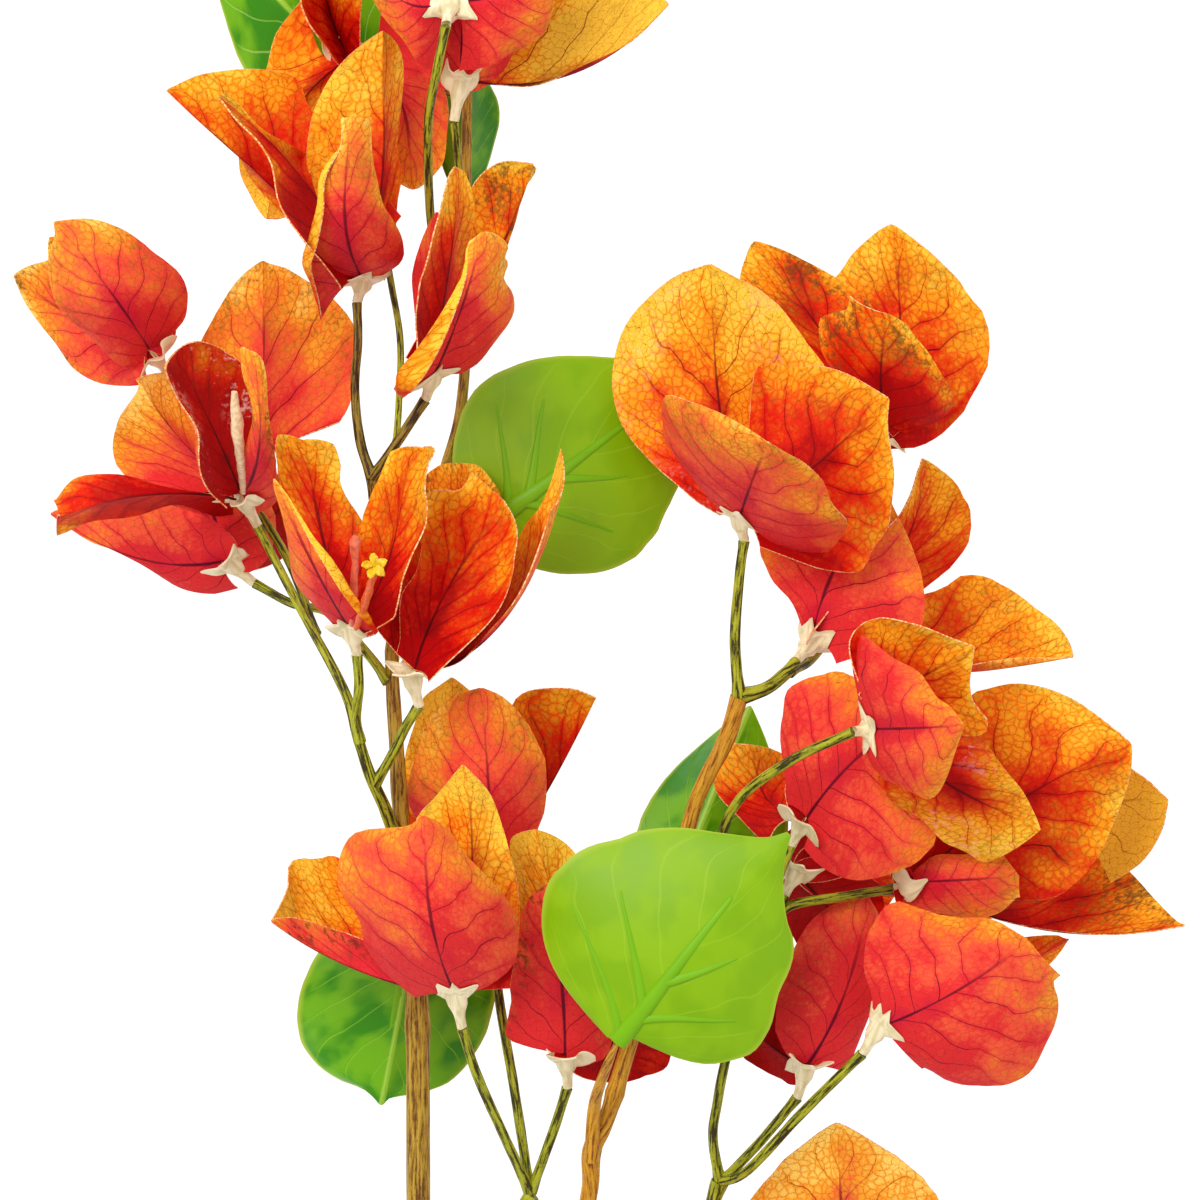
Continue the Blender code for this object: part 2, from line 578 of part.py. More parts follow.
def blade(name, given, base, form, grow=0.0):
    """Thin bract or leaf blade: a bowed midrib with an arched half on each side."""
    tip, mid, left, right = [spot(given[k]) for k in ("tip", "middle", "left", "right")]
    rows, half_rows = form["rows"], form["half_rows"]
    handle = 2 * mid - 0.5 * (base + tip)

    def rib(u):
        return base * (1 - u) ** 2 + 2 * handle * u * (1 - u) + tip * u * u

    way = (tip - base).normalized()
    middle = rib(given["widest"])
    halves = (left - middle, right - middle)
    face = (halves[1] - halves[0]).cross(way).normalized()
    count = 2 * half_rows + 1
    grid = []
    for i in range(rows + 1):
        u = i / rows
        width = outline(u, given["widest"], form["start"], form["point"])
        row = [None] * count
        for side, arm, arc in ((-1, halves[0], given["bow_left"]), (1, halves[1], given["bow_right"])):
            span = arm.length
            along = arm / span
            bow = face - along * face.dot(along)
            bow = -(bow - way * bow.dot(way)).normalized()
            turn = math.radians(arc)
            wide = width + grow / span
            for j in range(half_rows + 1):
                v = j / half_rows
                out = (math.sin(turn * (v - 0.5)) + math.sin(turn / 2)) / (2 * math.sin(turn / 2))
                lift = (math.cos(turn * (v - 0.5)) - math.cos(turn / 2)) / (2 * math.sin(turn / 2))
                back = form["lobe"] * span * v * v * (1 - u) ** 3
                row[half_rows + side * j] = (rib(u) + wide * (arm * out + bow * span * lift)
                                             - way * back)
        grid.append(row)
    half = form["thick"] / 2 + grow
    normals = []
    for i in range(rows + 1):
        for j in range(count):
            down = grid[min(i + 1, rows)][j] - grid[max(i - 1, 0)][j]
            over = grid[i][min(j + 1, count - 1)] - grid[i][max(j - 1, 0)]
            normals.append(over.cross(down).normalized())
    flat = [p for row in grid for p in row]
    corners = [p + n * half for p, n in zip(flat, normals)]
    corners += [p - n * half for p, n in zip(flat, normals)]
    total = len(flat)
    faces = []
    for i in range(rows):
        for j in range(count - 1):
            a = i * count + j
            b, c, d = a + 1, a + count + 1, a + count
            faces += [(a, b, c), (a, c, d)]
            faces += [(a + total, c + total, b + total), (a + total, d + total, c + total)]
    rim = list(range(count)) + [i * count + count - 1 for i in range(1, rows + 1)]
    rim += [rows * count + j for j in range(count - 2, -1, -1)]
    rim += [i * count for i in range(rows - 1, 0, -1)]
    for k in range(len(rim)):
        a, b = rim[k], rim[(k + 1) % len(rim)]
        faces += [(b, a, a + total), (b, a + total, b + total)]
    return mesh_object(name, corners, faces)


def finish(thing, modifier):
    bpy.context.view_layer.objects.active = thing
    bpy.ops.object.modifier_apply(modifier=modifier.name)


def join_all(body, others):
    """One Boolean union over a collection, with its objects removed after."""
    group = bpy.data.collections.new(body.name + "_group")
    bpy.context.scene.collection.children.link(group)
    for other in others:
        bpy.context.scene.collection.objects.unlink(other)
        group.objects.link(other)
    union = body.modifiers.new("union", "BOOLEAN")
    union.operation = "UNION"
    union.operand_type = "COLLECTION"
    union.collection = group
    union.solver = "MANIFOLD"
    bpy.context.view_layer.update()
    finish(body, union)
    for other in others:
        bpy.data.objects.remove(other, do_unlink=True)
    bpy.data.collections.remove(group)
    return body


def cut_away(body, cutter):
    cutter.hide_render = True
    cutter.display_type = "WIRE"
    cut = body.modifiers.new("cut", "BOOLEAN")
    cut.operation = "DIFFERENCE"
    cut.object = cutter
    bpy.context.view_layer.update()
    finish(body, cut)
    bpy.data.objects.remove(cutter, do_unlink=True)
    return body


def keep_largest(body):
    """Drops the scraps that a cut leaves."""
    mesh = body.data
    owner = list(range(len(mesh.vertices)))

    def root(k):
        while owner[k] != k:
            owner[k] = owner[owner[k]]
            k = owner[k]
        return k

    for edge in mesh.edges:
        a, b = root(edge.vertices[0]), root(edge.vertices[1])
        if a != b:
            owner[a] = b
    groups = {}
    for face in mesh.polygons:
        groups.setdefault(root(face.vertices[0]), []).append(face)
    if len(groups) < 2:
        return body

    def size(faces):
        return sum(f.area for f in faces)

    best = max(groups.values(), key=size)
    used = sorted({v for f in best for v in f.vertices})
    place = {v: i for i, v in enumerate(used)}
    corners = [mesh.vertices[v].co.copy() for v in used]
    faces = [tuple(place[v] for v in f.vertices) for f in best]
    fresh = bpy.data.meshes.new(body.name)
    fresh.from_pydata([tuple(c) for c in corners], [], faces)
    body.data = fresh
    bpy.data.meshes.remove(mesh)
    return body


def paint(thing, color, rough):
    material = bpy.data.materials.new(thing.name)
    material.use_nodes = True
    shader = material.node_tree.nodes["Principled BSDF"]
    shader.inputs["Base Color"].default_value = (*color, 1.0)
    shader.inputs["Roughness"].default_value = rough
    thing.data.materials.clear()
    thing.data.materials.append(material)


def limb_line(name):
    return rounded([spot(p) for p in stems[name]["course"]], 2)


def limb(name, grow=0.0, longer=0.0):
    given = stems[name]
    line = limb_line(name)
    radii = [r * sizes["step"] + grow for r in spread(given["half"], len(line))]
    sides = thick_sides if name in ("main_stem", "middle_stem") else thin_sides
    return tube(name + "_cutter" if grow else name, line, radii, sides, longer)


def bloom_parts(name, grow=0.0):
    given = blooms[name]
    twig = limb_line(given["on"])
    run = (twig[-1] - twig[-2]).normalized()
    neck, heart = twig[-1] + run * (sizes["neck_clear"] - grow), spot(given["heart"])
    way = (heart - neck).normalized()
    line = [neck, neck + run * (sizes["neck_length"] + grow), (neck + heart) / 2, heart,
            heart + way * sizes["star_height"]]
    radii = [sizes[k] + grow for k in ("neck_radius", "neck_radius", "waist_radius",
                                       "cup_radius", "star_radius")]
    parts = [tube(name + "_cup", line, radii, thin_sides)]
    for k, bract in enumerate(given["bracts"]):
        base = heart + (spot(bract["tip"]) - heart).normalized() * sizes["bract_root"]
        parts.append(blade(f"{name}_bract_{k}", bract, base, bract_form, grow))
    return parts


def make_bloom(name):
    parts = bloom_parts(name)
    return keep_largest(join_all(parts[0], parts[1:]))


def leaf_parts(name, grow=0.0):
    given = leaves[name]
    base = spot(given["base"])
    line = rounded([spot(p) for p in given["stalk"]], 3)
    way = (spot(given["tip"]) - base).normalized()
    line.append(line[-1] + way * sizes["stalk_overlap"])
    radii = [r * sizes["step"] + grow for r in spread(given["half"], len(line) - 1)]
    radii.append(sizes["stalk_tip_radius"] + grow)
    return [blade(name + "_blade", given, base, leaf_form, grow),
            tube(name + "_stalk", line, radii, thin_sides)]


made = {}
for name in stems:
    body = limb(name)
    for parent in stems[name]["from"]:
        cut_away(body, limb(parent, sizes["gap"], sizes["gap"]))
    keep_largest(body)
    made[name] = body
    paint(body, colors["brown" if name in ("main_stem", "middle_stem") else "olive"], 0.5)
for name in leaves:
    parts = leaf_parts(name)
    body = join_all(parts[0], parts[1:])
    cut_away(body, limb(leaves[name]["from"], sizes["gap"], sizes["gap"]))
    keep_largest(body)
    body.name = "leaf_" + name
    made[body.name] = body
    paint(body, colors["green"], 0.35)
for name in blooms:
    body = make_bloom(name)
    body.name = "bloom_" + name
    made[body.name] = body
    paint(body, colors["orange"], 0.6)

# The origin is under the middle of the whole spray, at the height of its lowest point.
places = [v.co for body in made.values() for v in body.data.vertices]
low = Vector([min(p[k] for p in places) for k in range(3)])
high = Vector([max(p[k] for p in places) for k in range(3)])
shift = Vector(((low.x + high.x) / 2, (low.y + high.y) / 2, low.z))
for body in made.values():
    for vertex in body.data.vertices:
        vertex.co -= shift
    body.data.update()
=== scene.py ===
import math

import bpy
from mathutils.bvhtree import BVHTree
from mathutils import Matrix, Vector, noise


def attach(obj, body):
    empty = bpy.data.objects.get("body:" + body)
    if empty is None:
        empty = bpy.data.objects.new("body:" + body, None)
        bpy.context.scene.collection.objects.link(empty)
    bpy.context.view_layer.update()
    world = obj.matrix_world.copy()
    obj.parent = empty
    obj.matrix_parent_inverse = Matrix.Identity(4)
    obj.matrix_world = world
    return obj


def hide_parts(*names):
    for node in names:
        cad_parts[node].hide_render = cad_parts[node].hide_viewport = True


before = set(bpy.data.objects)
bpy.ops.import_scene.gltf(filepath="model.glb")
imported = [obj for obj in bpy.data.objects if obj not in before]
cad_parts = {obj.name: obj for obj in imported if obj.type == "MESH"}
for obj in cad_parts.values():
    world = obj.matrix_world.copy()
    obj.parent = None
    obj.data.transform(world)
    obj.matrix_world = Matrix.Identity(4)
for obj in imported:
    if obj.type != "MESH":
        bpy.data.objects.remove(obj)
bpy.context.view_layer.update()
print("frame loaded")

mm = 0.001
# Places are steps across and down from the top left corner of a square of 1200 steps seen from
# straight above, with heights over the ground in mm. One step at the eye's own height is step mm.
layout = {
    "step": 0.22,
    "picture": 1200,
    "middle": 600.0,
    "eye": 1500.0,
    "eyeHeight": 45.0,
    "shiftAcross": 0.51,
    "shiftAlong": -24.13,
    "shiftUp": 0.2,
}


def place(spot):
    reach = (layout["eye"] - (spot[2] - layout["eyeHeight"])) / layout["eye"]
    across = (spot[0] - layout["middle"]) * layout["step"] * reach - layout["shiftAcross"]
    along = (layout["middle"] - spot[1]) * layout["step"] * reach - layout["shiftAlong"]
    return Vector((across, along, spot[2] - layout["shiftUp"])) * mm


# A wire carries a value through a shader, and a finish is one material being written.


def linear(red, green, blue):
    def one(value):
        value = value / 255
        return value / 12.92 if value <= 0.04045 else ((value + 0.055) / 1.055) ** 2.4

    return (one(red), one(green), one(blue), 1.0)


class Wire:
    def __init__(self, finish, socket):
        self.finish = finish
        self.socket = socket

    def math(self, operation, *others):
        return self.finish.add("Math", {"operation": operation}, dict(enumerate((self, *others))))

    def __add__(self, other):
        return self.math("ADD", other)

    def __radd__(self, other):
        return self.math("ADD", other)

    def __sub__(self, other):
        return self.math("SUBTRACT", other)

    def __rsub__(self, other):
        return self.finish.add("Math", {"operation": "SUBTRACT"}, {0: other, 1: self})

    def __mul__(self, other):
        return self.math("MULTIPLY", other)

    def __rmul__(self, other):
        return self.math("MULTIPLY", other)

    def __pow__(self, other):
        return self.math("POWER", other)

    def __abs__(self):
        return self.math("ABSOLUTE")

    def clamp(self):
        return self.finish.add("Clamp", {}, {"Value": self})

    def ramp(self, low, high, toLow=0.0, toHigh=1.0):
        # eased step from low to high
        return self.finish.add("MapRange", {"interpolation_type": "SMOOTHSTEP"},
                               {"Value": self, "From Min": low, "From Max": high,
                                "To Min": toLow, "To Max": toHigh})


class Finish:
    def __init__(self, name, color):
        self.material = bpy.data.materials.new(name)
        self.material.use_nodes = True
        self.material.diffuse_color = color
        self.tree = self.material.node_tree
        self.shader = self.tree.nodes["Principled BSDF"]
        self.shader.inputs["Base Color"].default_value = color

    def add(self, kind, settings, sockets, out=0):
        node = self.tree.nodes.new("ShaderNode" + kind)
        for key, value in settings.items():
            setattr(node, key, value)
        for key, value in sockets.items():
            self.join(node.inputs[key], value)
        return Wire(self, node.outputs[out])

    def join(self, socket, value):
        if isinstance(value, Wire):
            self.tree.links.new(value.socket, socket)
        else:
            socket.default_value = value

    def mix(self, share, low, high):
        # colours go through the colour sockets of a Mix node
        return self.add("Mix", {"data_type": "RGBA", "clamp_factor": True},
                        {"Factor": share, 6: low, 7: high}, 2)

    def attribute(self, name, out):
        return self.add("Attribute", {"attribute_name": name}, {}, out)

    def axes(self, vector):
        parted = self.add("SeparateXYZ", {}, {0: vector})
        return [Wire(self, socket) for socket in parted.socket.node.outputs]

    def vector(self, across, along):
        return self.add("CombineXYZ", {}, {0: across, 1: along})

    def cloud(self, vector, scale, detail=2.0, rough=0.5):
        return self.add("TexNoise", {"noise_dimensions": "2D"},
                        {"Vector": vector, "Scale": scale, "Detail": detail, "Roughness": rough})

    def cells(self, vector, scale):
        return self.add("TexVoronoi", {"feature": "DISTANCE_TO_EDGE", "voronoi_dimensions": "2D"},
                        {"Vector": vector, "Scale": scale})

    def set(self, **values):
        # a faint glow is seen, and it is not sampled as a lamp
        self.material.cycles.emission_sampling = "NONE"
        for key, value in values.items():
            self.join(self.shader.inputs[key.replace("_", " ")], value)

    def relief(self, height, strength, distance):
        bump = self.add("Bump", {}, {"Height": height, "Strength": strength, "Distance": distance})
        self.set(Normal=bump)


# Where each stem runs, and where each bract and leaf reaches. Left and right are as seen
# looking at the inner face with the tip up.
def stem(finish, course, half, knots=()):
    # course runs from the foot to the end, half is the half width along it in steps, and each
    # knot is a share of the length and how far the stem swells there
    return {"finish": finish, "course": course, "half": half, "knots": knots}


stems = {
    "main_stem": stem("brown", [(438, 1560, 3), (430, 1400, 9), (419, 1220, 20), (417, 1000, 28),
        (404, 850, 31), (396, 740, 32), (393, 640, 30), (412, 560, 24), (445, 470, 20), (464, 380, 20),
        (466, 180, 22), (468, 60, 22), (470, -100, 24)], [13, 13, 12.5, 12, 9, 7.5, 7, 6.5, 6, 5.5, 5.5,
        5, 4], [(0.33, 0.12), (0.41, 0.14), (0.47, 0.1), (0.55, 0.12)]),
    "left_stem": stem("olive", [(398, 842, 32), (384, 806, 38), (370, 775, 42), (358, 738, 44),
        (344, 690, 44), (299, 606, 38), (258, 527, 31)], [7, 6.5, 6, 5.5, 5, 4.5, 4.5]),
    "twig_far_left": stem("olive", [(316, 634, 39), (291, 566, 28), (262, 518, 24), (225, 475, 20),
        (192, 428, 21), (168, 374, 30)], [4.5, 4.5]),
    "twig_left_low": stem("olive", [(388, 682, 32), (370, 657, 30), (330, 614, 28), (293, 604, 28),
        (254, 583, 28)], [5, 5, 4.5, 4.5, 4.5]),
    "twig_centre_left": stem("olive", [(360, 742, 44), (356, 718, 46), (359, 685, 48), (357, 655, 50)],
        [5, 5]),
    "twig_centre_right": stem("olive", [(375, 784, 41), (392, 755, 45), (405, 728, 48), (418, 707, 50)],
        [5, 5]),
    "upper_stem": stem("dark", [(396, 612, 27), (384, 560, 36), (375, 510, 42), (372, 478, 45)], [6, 6,
        5.5, 5.5]),
    "twig_upper_left": stem("dark", [(372, 478, 45), (360, 440, 45), (355, 390, 45), (358, 340, 45),
        (357, 303, 44)], [5, 5, 4.5, 4.5, 4.5]),
    "twig_upper_middle": stem("dark", [(372, 478, 45), (396, 444, 48), (425, 400, 50)], [5, 5]),
    "twig_top_front": stem("olive", [(396, 445, 46), (399, 400, 38), (400, 337, 28), (388, 265, 18),
        (372, 150, 10), (358, 80, 10)], [3.5, 3.5]),
    "twig_top_left": stem("olive", [(463, 360, 21), (444, 290, 24), (431, 222, 33), (428, 127, 52),
        (436, 75, 61), (446, 26, 66)], [4.5, 4.5]),
    "twig_top_right": stem("olive", [(465, 225, 22), (459, 170, 32), (454, 122, 38)], [4, 4]),
    "middle_stem": stem("amber", [(432, 1425, 8), (500, 1370, 12), (570, 1270, 18), (589, 1195, 24),
        (592, 1150, 27), (606, 1120, 29), (626, 1055, 31), (660, 940, 32), (690, 822, 34), (704, 783, 36),
        (727, 738, 38), (739, 697, 40)], [10, 9.5, 9, 8.5, 10, 8.5, 8.5, 8, 8, 8, 9, 8], [(0.72, 0.35),
        (0.5, 0.25)]),
    "twig_large": stem("olive", [(739, 697, 40), (735, 640, 43), (739, 580, 45), (744, 541, 46)], [6, 5.5,
        5, 5]),
    "twig_right_upper": stem("olive", [(739, 697, 40), (765, 689, 38), (785, 674, 36), (796, 661, 34)],
        [7, 7, 6.5, 5]),
    "twig_upper_right": stem("olive", [(790, 672, 35), (815, 655, 24), (850, 600, 10), (875, 520, 8),
        (880, 450, 14)], [5, 5]),
    "right_stem": stem("olive", [(560, 1290, 16), (640, 1270, 14), (700, 1225, 17), (720, 1182, 20)], [7,
        7, 7, 8]),
    "riser_stem": stem("olive", [(720, 1182, 20), (713, 1140, 24), (716, 1110, 26), (727, 1055, 30),
        (750, 975, 31), (772, 925, 30), (784, 896, 28)], [5.5, 5, 5, 5, 5, 5, 5]),
    "twig_far_right": stem("olive", [(771, 926, 30), (790, 906, 29), (840, 897, 27), (893, 889, 25)], [5,
        5]),
    "twig_right_inner": stem("olive", [(757, 958, 31), (770, 905, 33), (791, 846, 34)], [4.5, 4.5]),
    "twig_right_front": stem("olive", [(729, 1050, 30), (716, 960, 32), (716, 870, 38), (735, 805, 46),
        (790, 761, 56), (853, 732, 62)], [5, 5]),
    "twig_right_low": stem("olive", [(720, 1182, 20), (748, 1170, 26), (805, 1110, 36), (862, 1054, 44)],
        [5, 5]),
    "twig_low_right": stem("olive", [(722, 1182, 20), (760, 1142, 27), (797, 1098, 33)], [5, 5]),
    "twig_bottom_right": stem("olive", [(700, 1225, 17), (745, 1320, 12), (805, 1392, 12),
        (848, 1366, 16)], [5, 5]),
    "low_stem": stem("olive", [(424, 1335, 14), (475, 1275, 17), (532, 1195, 21)], [8, 7.5, 7]),
    "twig_low_left": stem("olive", [(530, 1192, 21), (506, 1140, 32), (477, 1075, 44), (462, 1028, 50)],
        [5.5, 5, 5, 5]),
    "twig_centre_low": stem("olive", [(530, 1192, 21), (515, 1093, 24), (497, 981, 24), (497, 905, 22)],
        [5, 5]),
    "twig_low_middle": stem("olive", [(531, 1192, 21), (553, 1132, 28), (567, 1088, 32)], [5, 5]),
}


def bract(tip, middle, left, right, bows, widest, tone, **more):
    # bows: degrees that each half bows by. more: inside (the inner face's tone), leftLine and
    # rightLine (edge places from base to tip) or leftEdge and rightEdge (edge shares), rollLeft
    # and rollRight (degrees an edge folds over by), flap (the share that folds), curl and curlFrom
    # (the tip's curl), point and blunt (its end), lobeLeft and lobeRight (how far a corner reaches
    # back), ruffle, glue haze (whitish glue, with its sheen as a painted highlight), swapped
    # (prints changed over) and cut (edges stop before the tip)
    form = {"tip": tip, "middle": middle, "left": left, "right": right, "widest": widest, "tone": tone}
    return {**form, "bowLeft": bows[0], "bowRight": bows[1], **more}


def bloom(twig, heart, *bracts):
    return {"on": twig, "heart": heart, "bracts": bracts}


